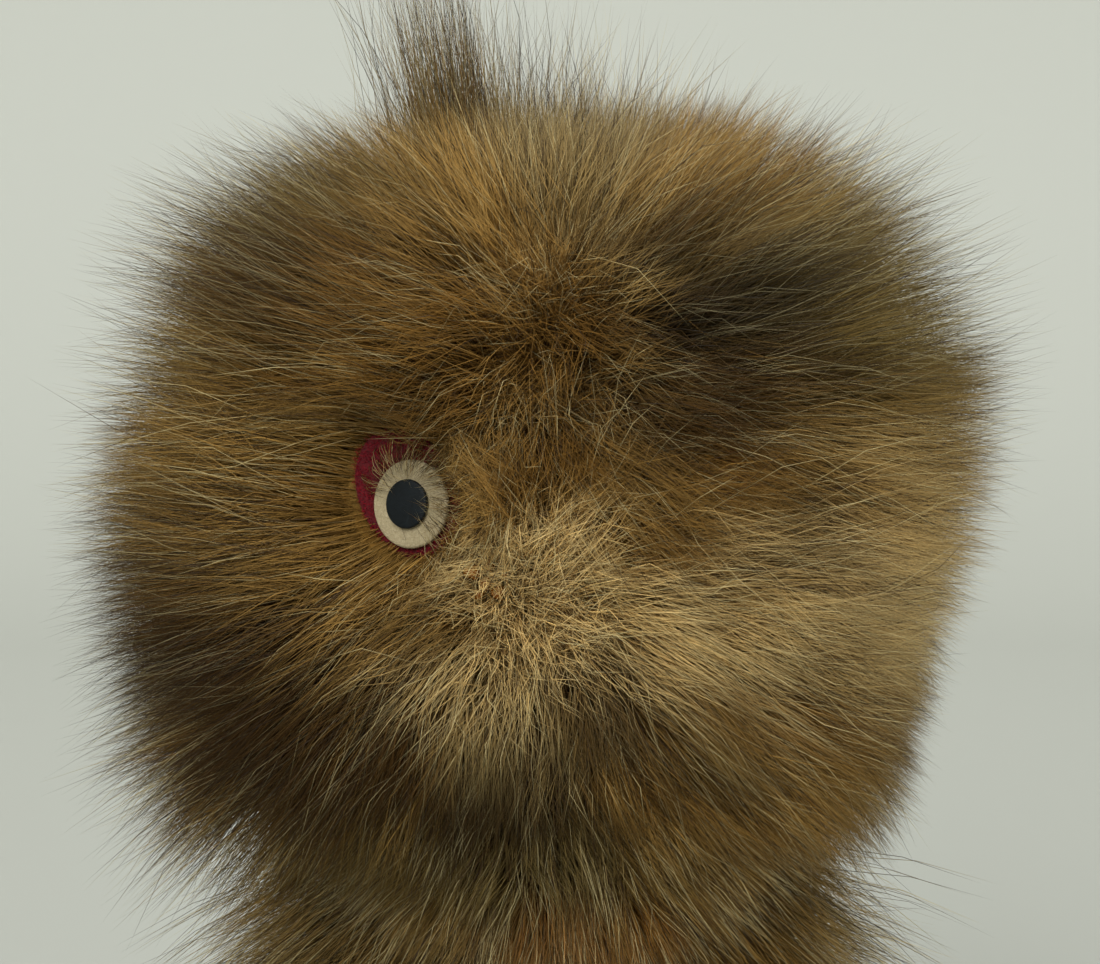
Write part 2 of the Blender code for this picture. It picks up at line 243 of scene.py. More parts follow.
def newMaterial(name, roughness, **shaderValues):
    material = bpy.data.materials.new(name)
    material.use_nodes = True
    shader = material.node_tree.nodes["Principled BSDF"]
    shader.inputs["Roughness"].default_value = roughness
    for title, value in shaderValues.items():
        shader.inputs[title.replace("_", " ")].default_value = value
    return material, material.node_tree, shader


def tintedBy(tree, colour, scale, darkest, lightest, detail=3.0):
    """A colour output times a cloud on object coordinates that runs from darkest to lightest."""
    place = nodeIn(tree, "ShaderNodeTexCoord", (-1100, 500))
    cloud = nodeIn(tree, "ShaderNodeTexNoise", (-900, 500), Scale=scale, Detail=detail)
    tint = nodeIn(tree, "ShaderNodeMapRange", (-700, 500))
    for title, value in (("From Min", 0.3), ("From Max", 0.7), ("To Min", darkest), ("To Max", lightest)):
        tint.inputs[title].default_value = value
    mix = nodeIn(tree, "ShaderNodeMix", (-250, 300), data_type="RGBA", blend_type="MULTIPLY")
    mix.inputs[0].default_value = 1.0
    tree.links.new(place.outputs["Object"], cloud.inputs["Vector"])
    tree.links.new(cloud.outputs["Fac"], tint.inputs["Value"])
    tree.links.new(colour, mix.inputs[6])
    tree.links.new(tint.outputs["Result"], mix.inputs[7])
    return mix.outputs[2]


def fabricMaterial(name, low, high, group, scale, depth, roughness=0.9, soil=60.0, **shaderValues):
    """Cloth, felt, foam or card: the group's mask mixes two colours, a wide cloud soils them, and its bump shows."""
    material, tree, shader = newMaterial(name, roughness, **shaderValues)
    grain = nodeIn(tree, "ShaderNodeGroup", (-1100, 0), node_tree=group)
    grain.inputs[0].default_value = scale
    grain.inputs["Depth"].default_value = depth
    mix = nodeIn(tree, "ShaderNodeMix", (-500, 200), data_type="RGBA")
    mix.inputs[6].default_value = (*low, 1)
    mix.inputs[7].default_value = (*high, 1)
    tree.links.new(grain.outputs["Mask"], mix.inputs[0])
    tree.links.new(tintedBy(tree, mix.outputs[2], soil, 0.72, 1.0), shader.inputs["Base Color"])
    tree.links.new(grain.outputs["Normal"], shader.inputs["Normal"])
    return material


def peltMaterial(name, roughness):
    """The skin side of the coat: its own colour at each point, with painted shade between the matted fibres, and their
    bump.
    """
    material, tree, shader = newMaterial(name, roughness, Specular_IOR_Level=0.1)
    colour = nodeIn(tree, "ShaderNodeAttribute", (-1100, 200), attribute_name="strandColour")
    grain = nodeIn(tree, "ShaderNodeGroup", (-1100, -100), node_tree=fibreGroup)
    grain.inputs[0].default_value = 700.0
    grain.inputs["Depth"].default_value = 0.0008
    # painted shade: where the fibre mask and its bump are low, between the fibres, the colour is darkened
    shade = nodeIn(tree, "ShaderNodeMapRange", (-800, -100))
    shade.inputs["To Min"].default_value = 0.62
    shade.inputs["To Max"].default_value = 1.12
    mix = nodeIn(tree, "ShaderNodeMix", (-500, 200), data_type="RGBA", blend_type="MULTIPLY")
    mix.inputs[0].default_value = 1.0
    tree.links.new(grain.outputs["Mask"], shade.inputs["Value"])
    tree.links.new(colour.outputs["Color"], mix.inputs[6])
    tree.links.new(shade.outputs["Result"], mix.inputs[7])
    tree.links.new(mix.outputs[2], shader.inputs["Base Color"])
    tree.links.new(grain.outputs["Normal"], shader.inputs["Normal"])
    return material


def hairMaterial(name, roughness, shine):
    """Each strand's own colour, with a fine mottle along it."""
    material, tree, shader = newMaterial(name, roughness, Specular_IOR_Level=shine)
    colour = nodeIn(tree, "ShaderNodeAttribute", (-700, 200), attribute_name="strandColour")
    tree.links.new(tintedBy(tree, colour.outputs["Color"], 420.0, 0.84, 1.14, 2.0), shader.inputs["Base Color"])
    return material


underfurLook = hairMaterial("underfur", 0.75, 0.12)
guardLook = hairMaterial("guardHair", 0.48, 0.24)
fuzzLook = hairMaterial("feltFuzz", 0.9, 0.1)
redFelt = fabricMaterial("redFelt", linear(80, 4, 14), linear(138, 16, 30), fibreGroup, 1500.0, 0.0005, 0.95)
creamFelt = fabricMaterial("creamFelt", linear(168, 150, 112), linear(206, 190, 152), fibreGroup, 1900.0, 0.0002, 0.8)
blackDisc = fabricMaterial(
    "blackDisc", linear(7, 11, 13), linear(20, 27, 31), fibreGroup, 700.0, 0.00005, 0.5, Specular_IOR_Level=0.2
)
hideLook = peltMaterial("hide", 0.95)
foamLook = fabricMaterial("foam", linear(196, 172, 112), linear(222, 204, 150), fibreGroup, 1200.0, 0.0010, 0.95)
cardLook = fabricMaterial("card", linear(120, 96, 66), linear(150, 124, 90), fibreGroup, 300.0, 0.0001, 0.85)
liningLook = fabricMaterial("liningCloth", linear(120, 108, 88), linear(176, 164, 140), weaveGroup, 5200.0, 0.0002)
tapeLook = fabricMaterial("bindingTape", linear(74, 62, 46), linear(116, 100, 76), weaveGroup, 4200.0, 0.0003)
threadLook = fabricMaterial("thread", linear(90, 78, 58), linear(132, 118, 92), fibreGroup, 2500.0, 0.0001, 0.7)
glueLook = fabricMaterial("driedGlue", linear(104, 58, 8), linear(158, 96, 22), fibreGroup, 600.0, 0.0001, 0.22)
print("materials made")

# Meshes from grids


def addPiece(name, parts, material, body=None):
    """One piece from a list of closed (points, faces), with its faces turned outwards."""
    mesh = bpy.data.meshes.new(name)
    points, faces, count = [], [], 0
    for partPoints, partFaces in parts:
        points.append(np.reshape(partPoints, (-1, 3)))
        faces += [[int(index) + count for index in face] for face in partFaces]
        count += len(points[-1])
    mesh.from_pydata(np.concatenate(points), [], faces)
    shape = bmesh.new()
    shape.from_mesh(mesh)
    bmesh.ops.recalc_face_normals(shape, faces=shape.faces)
    shape.to_mesh(mesh)
    shape.free()
    mesh.polygons.foreach_set("use_smooth", np.ones(len(mesh.polygons), bool))
    mesh.materials.append(material)
    obj = bpy.data.objects.new(name, mesh)
    collection.objects.link(obj)
    if body:
        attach(obj, body)
    return obj


def quadsOf(rows, columns, around):
    """The quads of a grid of points, joined round its columns where around is true."""
    row, column = np.meshgrid(np.arange(rows - 1), np.arange(columns if around else columns - 1), indexing="ij")
    right = (column + 1) % columns
    low, high = row * columns, (row + 1) * columns
    return np.stack([low + column, high + column, high + right, low + right], -1).reshape(-1, 4)


def shell(outer, inner, around=True):
    """A closed wall between two grids of the same size: both grids, and a strip along each open edge."""
    rows, columns = outer.shape[:2]
    index = np.arange(rows * columns).reshape(rows, columns)
    edges = [np.append(row, row[0]) if around else row for row in (index[0], index[-1])]
    edges += [] if around else [index[:, 0], index[:, -1]]
    strips = [np.stack([edge[:-1], edge[1:], edge[1:] + index.size, edge[:-1] + index.size], -1) for edge in edges]
    quads = quadsOf(rows, columns, around)
    points = np.concatenate([outer.reshape(-1, 3), inner.reshape(-1, 3)])
    return points, np.concatenate([quads, quads + index.size, *strips])


def tube(middleY, radius, thickness, low, high, rows, steps=180, bulge=None):
    """A closed upright tube round x = 0, y = middleY. bulge moves the wall out by angle and height."""
    angle = np.arange(steps) * 2 * math.pi / steps
    height = np.linspace(low, high, rows)[:, None]
    grids = []
    for wall in (radius, radius - thickness):
        far = wall + (bulge(angle, height) if bulge else 0) + 0 * height * angle
        grids.append(np.stack([far * np.cos(angle), middleY + far * np.sin(angle), height + 0 * far], -1))
    return shell(*grids)


def turned(centre, axes, profile, steps=48, reach=None):
    """A closed turned form: (distance, height) along the profile goes round the third axis, from pole to pole.
    reach gives a factor on the distance for each angle."""
    angle = np.arange(steps) * 2 * math.pi / steps
    distance, height = np.array(profile, float).T
    far = distance[1:-1, None] * (reach(angle) if reach else np.ones(steps))
    flat = np.stack([far * np.cos(angle), far * np.sin(angle), height[1:-1, None] + 0 * far], -1).reshape(-1, 3)
    flat = np.concatenate([flat, [[0, 0, height[0]], [0, 0, height[-1]]]])
    ring = np.arange(steps)
    last = len(flat) - 2 - steps + ring
    faces = quadsOf(len(distance) - 2, steps, True).tolist()
    for edge, pole in ((ring, len(flat) - 2), (last, len(flat) - 1)):
        faces += np.stack([edge, np.roll(edge, -1), np.full(steps, pole)], -1).tolist()
    return np.array(centre) + flat @ np.array(axes), faces


def discProfile(radius, thickness, crown=0.0, rings=7):
    """Out from the lower pole, round the rim, and back to the upper pole, which stands crown above the rim."""
    share = np.linspace(0, 0.93, rings)
    turn = np.radians(np.linspace(-60, 60, 5))
    low = np.stack([share * radius, np.full(rings, -thickness / 2)], -1)
    rim = np.stack([radius - thickness / 2 * (1 - np.cos(turn)), thickness / 2 * np.sin(turn) / np.sin(turn[-1])], -1)
    high = np.stack([share[::-1] * radius, thickness / 2 + crown * (1 - share[::-1] ** 2)], -1)
    return np.concatenate([low, rim, high])


def facing(axis):
    """Two directions across an axis, and the axis itself, as rows."""
    side = unit(np.cross(up, axis)) if abs(axis[2]) < 0.9 else np.array([1.0, 0, 0])
    return np.stack([side, unit(np.cross(axis, side)), axis])


def stitches(places, along, outward, length, width):
    """Short rounded threads, one at each place, lying along one direction and standing a little proud of it."""
    turn = np.arange(6) * math.pi / 3
    share = np.linspace(-1, 1, 5)[:, None]
    thick = np.sqrt(np.clip(1 - share**2 * 0.92, 0, 1)) * width / 2
    local = np.stack([share * length / 2 + 0 * turn, thick * np.cos(turn), thick * np.sin(turn)], -1).reshape(-1, 3)
    axes = np.stack([along, np.cross(outward, along), outward], axis=1)
    points = places[:, None] + np.einsum("pk,nkc->npc", local, axes)
    faces = quadsOf(5, 6, True).tolist() + [list(range(6)), list(range(24, 30))]
    return [(part, faces) for part in points]


# Strands of fur

furPieces = []


def strandMesh(name, line, thick, side, other, colours):
    """Closed three-sided hairs: three points round each point of a middle line, and one at its tip.
    line is hairs by points by 3, and thick is half the width at each point but the tip."""
    count, steps = line.shape[:2]
    segments = steps - 1
    turn = np.arange(3) * 2 * math.pi / 3
    rings = line[:, :-1, None] + thick[:, :, None, None] * (
        np.cos(turn)[:, None] * side[:, :-1, None] + np.sin(turn)[:, None] * other[:, :-1, None]
    )
    points = np.concatenate([rings.reshape(count, -1, 3), line[:, -1:]], axis=1)
    each = points.shape[1]
    quads = quadsOf(segments, 3, True)[:, ::-1]
    ring = np.arange(3)
    last = (segments - 1) * 3 + ring
    tips = np.stack([last, np.roll(last, -1), np.full(3, each - 1)], -1)
    ends = np.concatenate([tips, [[2, 1, 0]]])
    start = (np.arange(count) * each)[:, None]
    allQuads, allEnds = start + quads.reshape(1, -1), start + ends.reshape(1, -1)
    loops = np.concatenate([allQuads.ravel(), allEnds.ravel()])
    firsts = np.concatenate([np.arange(allQuads.size // 4) * 4, allQuads.size + np.arange(allEnds.size // 3) * 3])
    mesh = bpy.data.meshes.new(name)
    mesh.vertices.add(count * each)
    mesh.vertices.foreach_set("co", points.astype(np.float32).ravel())
    mesh.loops.add(len(loops))
    mesh.loops.foreach_set("vertex_index", loops.astype(np.int32))
    mesh.polygons.add(len(firsts))
    mesh.polygons.foreach_set("loop_start", firsts.astype(np.int32))
    mesh.polygons.foreach_set("use_smooth", np.ones(len(firsts), bool))
    mesh.update(calc_edges=True)

    share = np.linspace(0, 1, steps)[None, :, None]
    rootColour, middleColour, tipColour = (colours[:, k, None] for k in range(3))
    tone = rootColour + (middleColour - rootColour) * np.clip(share * 2, 0, 1)
    tone = tone + (tipColour - tone) * np.clip(share * 2 - 1, 0, 1)
    tone = np.concatenate([np.repeat(tone[:, :-1], 3, axis=1), tone[:, -1:]], axis=1)
    tone = np.concatenate([tone, np.ones((count, each, 1))], axis=2)
    layer = mesh.attributes.new("strandColour", "FLOAT_COLOR", "POINT")
    layer.data.foreach_set("color", tone.astype(np.float32).ravel())

    # Each hair has its own cell of the map, its three sides beside each other and its base's triangle below
    columns = math.ceil(math.sqrt(count * 2.4))
    cell = np.arange(count)
    corner = np.stack([cell % columns, cell // columns], axis=1)[:, None]
    spots = np.stack([np.tile(np.arange(3), segments), np.repeat(np.arange(segments), 3)], -1).astype(float)
    firstEdge = spots[: 3 * (segments - 1)]
    quadMap = firstEdge[:, None] + np.array([[0, 0], [0, 1], [1, 1], [1, 0]])[::-1]
    top = segments - 1
    tipMap = np.stack([ring, np.full(3, top)], -1)[:, None] + np.array([[0, 0], [1, 0], [0.5, 1]])
    baseMap = np.array([[[2.9, -0.3], [1.5, -0.3], [0.1, -0.05]]])
    scale = np.array([0.8 / 3, 0.8 / (segments + 0.4)])
    shift = np.array([0.1, 0.1 + 0.4 * scale[1]])
    size = 1 / np.array([columns, math.ceil(count / columns)])
    maps = [quadMap.reshape(-1, 2), np.concatenate([tipMap, baseMap]).reshape(-1, 2)]
    flat = [((corner + shift + part * scale) * size).reshape(-1, 2) for part in maps]
    mesh.uv_layers.new(name="OFBake").uv.foreach_set("vector", np.concatenate(flat).astype(np.float32).ravel())
    return mesh


def growStrands(name, hairs, values, material, body=None, blended=None):
    """Hairs along root + length (start (s - s^2/2) + end s^2/2), thinner towards the tip, with a sideways wave.
    hairs holds root, start, end, length and colours. Makes as many pieces as 190,000 triangles each need."""
    segments = values["segments"]
    count = len(hairs["root"])
    share = np.linspace(0, 1, segments + 1)[None, :, None]
    pieces = []
    pieceCount = max(1, math.ceil(count * (6 * segments - 2) / 190000))
    order = np.argsort(hairs["root"][:, 0] + 0.3 * hairs["root"][:, 2], kind="stable")
    for number, chosen in enumerate(np.array_split(order, pieceCount)):
        root, start, end = (hairs[key][chosen][:, None] for key in ("root", "start", "end"))
        length = hairs["length"][chosen][:, None, None]
        line = root + length * (start * (share - share**2 / 2) + end * share**2 / 2)
        run = unit(start * (1 - share) + end * share)
        side = unit(np.cross(run, unit(draw.normal(size=(len(chosen), 1, 3)))))
        other = np.cross(run, side)
        bend = draw.uniform(0, 2 * math.pi, (len(chosen), 1, 1)) + draw.uniform(3, 7, (len(chosen), 1, 1)) * share
        line = line + values["wave"] * share * side * np.sin(bend)
        line = np.clip(line, roomLow, roomHigh)
        wide = values["width"] * draw.uniform(0.7, 1.25, (len(chosen), 1))
        thick = wide * (1 - 0.72 * share[:, :-1, 0] ** 1.6) / 2
        title = name if pieceCount == 1 else f"{name}{number + 1}"
        mesh = strandMesh(title, line, thick, side, other, hairs["colours"][chosen])
        mesh.materials.append(material)
        piece = bpy.data.objects.new(title, mesh)
        collection.objects.link(piece)
        if blended:
            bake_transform(piece)
        else:
            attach(piece, body)
        pieces.append(piece)
    furPieces.append((name, count))
    return pieces


# Colours of the coat. A patch is (colour, across, height, half width, half height, strength), in millimetres. The
# brown patches round the mouth, under the muzzle, are painted shadow

coat = {
    "tan": linear(152, 122, 68),
    "deepTan": linear(122, 90, 40),
    "cream": linear(214, 188, 132),
    "grey": linear(134, 122, 86),
    "olive": linear(98, 84, 46),
    "brown": linear(60, 41, 17),
    "black": linear(17, 13, 8),
    "orange": linear(150, 100, 46),
    "pale": linear(206, 190, 138),
}
patchesAndShadows = (
    ("brown", -46, 243, 24, 14, 0.75),
    ("olive", -48, 258, 30, 9, 0.7),
    ("deepTan", -24, 236, 22, 18, 0.7),
    ("tan", -12, 250, 16, 14, 0.7),
    ("deepTan", 2, 232, 12, 16, 0.6),
    ("olive", 58, 240, 32, 22, 0.85),
    ("black", 31, 238, 19, 13, 0.72),
    ("brown", 24, 221, 20, 9, 0.75),
    ("brown", 44, 226, 16, 8, 0.6),
    ("brown", -26, 218, 13, 9, 0.5),
    ("olive", -76, 240, 16, 34, 0.6),
    ("tan", -64, 204, 20, 18, 0.5),
    ("brown", -56, 172, 28, 14, 0.95),
    ("brown", -46, 152, 24, 12, 0.9),
    # painted shadow under the muzzle, round the mouth
    ("brown", -10, 151, 20, 9, 0.85),
    # painted shadow under the muzzle, round the mouth
    ("brown", 30, 157, 10, 5, 0.6),
    ("olive", -20, 138, 42, 11, 0.7),
    ("orange", 7, 122, 20, 9, 0.6),
    ("olive", 70, 232, 20, 30, 0.6),
    ("tan", -30, 186, 26, 12, 0.8),
    ("tan", 66, 200, 24, 22, 0.7),
    ("cream", 46, 184, 34, 20, 0.45),
    ("cream", 12, 184, 32, 15, 0.85),
    ("cream", -2, 189, 18, 12, 0.9),
    ("cream", -12, 174, 17, 9, 0.75),
    # painted shadow under the muzzle, round the mouth
    ("brown", 13, 164, 13, 7, 0.75),
    ("cream", 60, 192, 14, 26, 0.35),
    ("tan", 44, 124, 20, 14, 0.9),
)


def coatColour(points):
    """The coat's colour where a hair shows: drifting tan, grey and brown, with the face's own patches over them and
    painted shadow round the mouth, under the muzzle.
    """
    slow, fine, dark = (drift(points, size, seed)[:, None] for size, seed in ((0.075, 3), (0.022, 4), (0.060, 5)))
    colour = coat["tan"] + (coat["deepTan"] - coat["tan"]) * smooth(fine, -0.6, 1.0)
    colour = colour + (coat["grey"] - colour) * smooth(slow, 0.0, 1.2) * 0.6
    colour = colour + (coat["brown"] - colour) * smooth(dark + 0.35 * fine, 0.45, 1.15) * 0.8
    front = smooth(-points[:, 1], -0.030, 0.010)[:, None]
    edge = drift(points, 0.016, 6)[:, None] * 0.22
    for name, across, height, halfWidth, halfHeight, strength in patchesAndShadows:
        away = np.hypot((points[:, 0] / mm - across) / halfWidth, (points[:, 2] / mm - height) / halfHeight)[:, None]
        colour = colour + (coat[name] - colour) * smooth(-(away + edge), -1.3, -0.5) * strength * front
    return colour


def strandColours(points, bunch, kind):
    """Root, middle and tip colours: the underfur is warm and even, and guard hairs are banded pale and dark.
    Each bunch and each hair is a little lighter or darker."""
    count = len(points)
    lock = draw.normal(1.0, 0.13, (bunch.max() + 1, 1))[bunch]
    base = coatColour(points) * np.clip(lock * draw.normal(1.0, 0.13, (count, 1)), 0.55, 1.6)
    warm = np.array([1.0, 0.86, 0.58])
    if kind == "under":
        return np.stack([base * (warm + 0.5) / 1.5, base * (warm + 1) / 2, base * 1.05], axis=1)
    pick = draw.uniform(size=(count, 1))
    pale = coat["pale"] * np.clip(0.24 + base.mean(axis=1, keepdims=True) / 0.24, 0.28, 1.05)
    darkHair = np.minimum(coat["brown"], base * 0.5) * 0.8
    tip = np.where(pick < 0.36, pale, np.where(pick < 0.56, base * 0.95, darkHair))
    middle = np.where(pick < 0.36, (base + pale) / 2, np.where(pick < 0.56, base * 1.15, darkHair))
    return np.stack([base * warm * 0.8, middle, tip], axis=1)


# The head's skin and how far its fur reaches

headShape = {"upright": 62.6 * mm, "overFoam": 0.6 * mm, "squareness": 2.4}
headSemi = np.array([*(foamHigh - foamLow)[:2] / 2 + headShape["overFoam"], headShape["upright"]])
headMiddle = np.array([0, 0, foamHigh[2] + headShape["overFoam"] - headShape["upright"]])

# The coat's outline seen from the front, in millimetres, with its depth in front and behind
reach = {
    "middle": np.array([0, 0, 200]),
    "front": 87,
    "behind": 88,
    "squareness": 2.7,
    "outline": (
        (0, 283), (40, 286), (72, 288), (93, 283), (101, 268), (104, 244), (102, 216), (96, 203), (89, 188), (82, 172),
        (77, 150), (76, 134), (72, 120), (40, 114), (0, 116), (-40, 110), (-90, 106), (-100, 124), (-104, 150),
        (-104, 172), (-104, 200), (-104, 224), (-102, 246), (-94, 270), (-76, 285), (-38, 285),
    ),
}
outlineFlat = np.array(reach["outline"]) - reach["middle"][[0, 2]]
outlineOrder = np.argsort(np.arctan2(outlineFlat[:, 1], outlineFlat[:, 0]))
outlineAngle = np.arctan2(outlineFlat[:, 1], outlineFlat[:, 0])[outlineOrder]
outlineFar = np.hypot(*outlineFlat.T)[outlineOrder]


def reachShare(points):
    """How far out a point is as a share of the coat's reach: the outline's distance in its direction and the
    depth, joined by the same power as a superellipse."""
    flat = points / mm - reach["middle"]
    far = np.interp(np.arctan2(flat[..., 2], flat[..., 0]), outlineAngle, outlineFar, period=2 * math.pi)
    deep = np.where(flat[..., 1] < 0, reach["front"], reach["behind"])
    exponent = reach["squareness"]
    return (np.hypot(flat[..., 0], flat[..., 2]) / far) ** exponent + (np.abs(flat[..., 1]) / deep) ** exponent


def lengthTo(root, lean, longest):
    """The length at which a hair's tip meets the coat's reach, found by halving."""
    low, high = np.zeros(len(root)), np.full(len(root), longest)
    for _ in range(14):
        middle = (low + high) / 2
        inside = reachShare(root + middle[:, None] * lean) < 1
        low, high = np.where(inside, middle, low), np.where(inside, high, middle)
    return low


def headSkin(directions):
    """Points and outward normals on the skin, where |x/a|^p + |y/b|^p + |z/c|^p = 1, in these directions."""
    p = headShape["squareness"]
    share = directions / (np.abs(directions) ** p).sum(axis=-1, keepdims=True) ** (1 / p)
    return headMiddle + share * headSemi, unit(power(share, p - 1) / headSemi)


def evenDirections(count):
    """Directions spread evenly over a ball along a spiral that turns by the golden angle."""
    step = np.arange(count) + 0.5
    height = 1 - 2 * step / count
    level, turn = np.sqrt(1 - height**2), step * math.pi * (3 - math.sqrt(5))
    return np.stack([level * np.cos(turn), level * np.sin(turn), height], axis=1)


def bunchMean(values, bunch):
    """The mean of values over the hairs of the same bunch, given back for each hair."""
    total = np.stack([np.bincount(bunch, weights=values[:, k]) for k in range(values.shape[1])], axis=1)
    return (total / np.maximum(np.bincount(bunch), 1)[:, None])[bunch]


def cellsOf(points, size):
    """Numbers the cells of a slanting lattice of that size which the points fall in."""
    slanted = points @ np.array([[1.0, 0.31, 0.22], [-0.27, 1.0, 0.35], [0.19, -0.33, 1.0]])
    cell = np.floor(slanted / size + 0.25 * np.sin(slanted[:, [1, 2, 0]] / size)).astype(int)
    return np.unique(cell, axis=0, return_inverse=True)[1].reshape(-1)


def finishHairs(root, start, end, length, bunch, gather, kind, lockSize=12 * mm, lockGather=0.38):
    """Draws each bunch's tips together by the share gather and each lock's by lockGather, keeps tips in the room,
    and colours the hairs."""
    tip = root + length[:, None] * (start + end) / 2
    drawn = tip + gather * (bunchMean(tip, bunch) - tip)
    lock = cellsOf(bunchMean(root, bunch), lockSize)
    drawn = drawn + lockGather * (bunchMean(drawn, lock) - drawn)
    end = end + 2 * (drawn - tip) / length[:, None]
    move = length[:, None] * (start + end) / 2
    above = (root + move - roomHigh) / np.maximum(move, 1e-6)
    below = (roomLow - root - move) / np.maximum(-move, 1e-6)
    over = np.maximum(above, below)
    over[:, 2] = np.where(move[:, 2] < 0, 0, over[:, 2])
    length = length * np.clip(1 - over.max(axis=1), 0.2, 1)
    shows = root + 0.6 * length[:, None] * (start + end) / 2
    return {"root": root, "start": start, "end": end, "length": length, "colours": strandColours(shows, bunch, kind)}


# Flow of the head's fur

flow = {
    "low": np.array([-6, -66, 193]) * mm,  # whorl on the muzzle
    "high": np.array([2, -48, 240]) * mm,  # whorl on the forehead
}
eyes = {}
for word, side in (("right", -1), ("left", 1)):
    places = {part: np.mean(corners(f"eye_{part}_{word}"), axis=0) for part in ("felt", "white", "pupil")}
    eyes[word] = {"side": side, "axis": unit(places["pupil"] - places["white"]), **places}
feltOval = {"long": 13.5 * mm, "wide": 9.8 * mm, "slant": 45}


def feltWays(eye):
    """The felt's long way, its other way across the eye, and the eye's axis, as rows."""
    slant = math.radians(feltOval["slant"])
    across, upward, axis = facing(eye["axis"])
    longWay = across * eye["side"] * math.cos(slant) + upward * math.sin(slant)
    return np.stack([longWay, np.cross(axis, longWay), axis])


def gapFrom(eye, points):
    """How far points are from the line through the felt's middle, with the oval's long way shrunk to a circle's,
    and the direction away from it."""
    ways = feltWays(eye)
    flat = (points - eye["felt"]) @ ways[:2].T * [feltOval["wide"] / feltOval["long"], 1]
    gap = np.linalg.norm(flat, axis=1)
    return gap, unit(flat @ ways[:2] + 1e-9)


def headFlow(root, normal):
    """Direction along the skin: away from the line between the two whorls, downwards between the eyes, aside
    from the eye that shows, and a little down everywhere."""
    span = flow["high"] - flow["low"]
    share = np.clip((root - flow["low"]) @ span / (span @ span), 0, 1)[:, None]
    away = root - (flow["low"] + share * span)
    along = away - normal * (away * normal).sum(axis=1, keepdims=True)
    along = unit(along) * smooth(np.linalg.norm(along, axis=1, keepdims=True), 0.0, 17 * mm)
    bridge = np.exp(-((root[:, 0] / (10 * mm)) ** 2)) * smooth(root[:, 2], 0.200, 0.214)
    bridge = bridge * (1 - smooth(root[:, 2], 0.236, 0.250)) * smooth(-root[:, 1], 0.0, 0.03)
    along = along - up * bridge[:, None] * 1.6
    gap, apart = gapFrom(eyes["right"], root)
    above = smooth(apart[:, 2], 0.1, 0.7)
    along = along + apart * (np.exp(-((gap / (14 * mm)) ** 2)) * 1.7 * (1 - 0.9 * above))[:, None]
    along = along + np.array([-0.9, 0, -0.5]) * (np.exp(-(((gap - 9 * mm) / (9 * mm)) ** 2)) * above)[:, None]
    along = along - up * 0.14
    along = along + np.stack([drift(root, 0.040, seed) for seed in (11, 12, 13)], axis=1) * 0.42
    along = along + np.stack([drift(root, 0.017, seed) for seed in (14, 15, 16)], axis=1) * 0.42
    return unit(along - normal * (along * normal).sum(axis=1, keepdims=True))


bare = {"aboveLip": 3 * mm, "lipBehind": 8 * mm, "aboveNape": 20 * mm, "below": 152 * mm, "roundEye": 8.6 * mm}


def growsOnHead(root):
    """Where the head's fur grows: above the lip, outside the neck's opening, and not under the eyes."""
    belowLip = (root[:, 2] < faceLow[2] + bare["aboveLip"]) & (root[:, 1] < bare["lipBehind"])
    neckGap = np.hypot(root[:, 0], root[:, 1] - neckMiddle[1])
    inNeck = (root[:, 2] < napeLow[2] + bare["aboveNape"]) & (neckGap < neckHigh[0])
    clear = ~(belowLip | inNeck | (root[:, 2] < bare["below"]))
    for eye in eyes.values():
        gap, _ = gapFrom(eye, root)
        clear &= (gap > bare["roundEye"]) | (root[:, 1] > 0)
    return clear


headFur = {
    "under": {
        "count": 94000, "bunch": 13, "spread": 0.030, "gather": 0.60, "shares": (0.77, 1.08), "longest": 54 * mm,
        "width": 0.21 * mm, "wave": 2.4 * mm, "segments": 2, "bunchLean": 0.30, "stray": 0.17,
    },
    "guard": {
        "count": 38000, "bunch": 3, "spread": 0.030, "gather": 0.25, "shares": (0.80, 1.12), "longest": 68 * mm,
        "width": 0.17 * mm, "wave": 2.3 * mm, "segments": 3, "bunchLean": 0.32, "stray": 0.30,
    },
}


eyeHair = {"near": (9 * mm, 21 * mm), "stopsAt": 7.6 * mm, "crossing": 0.03, "shortest": 3.5 * mm}


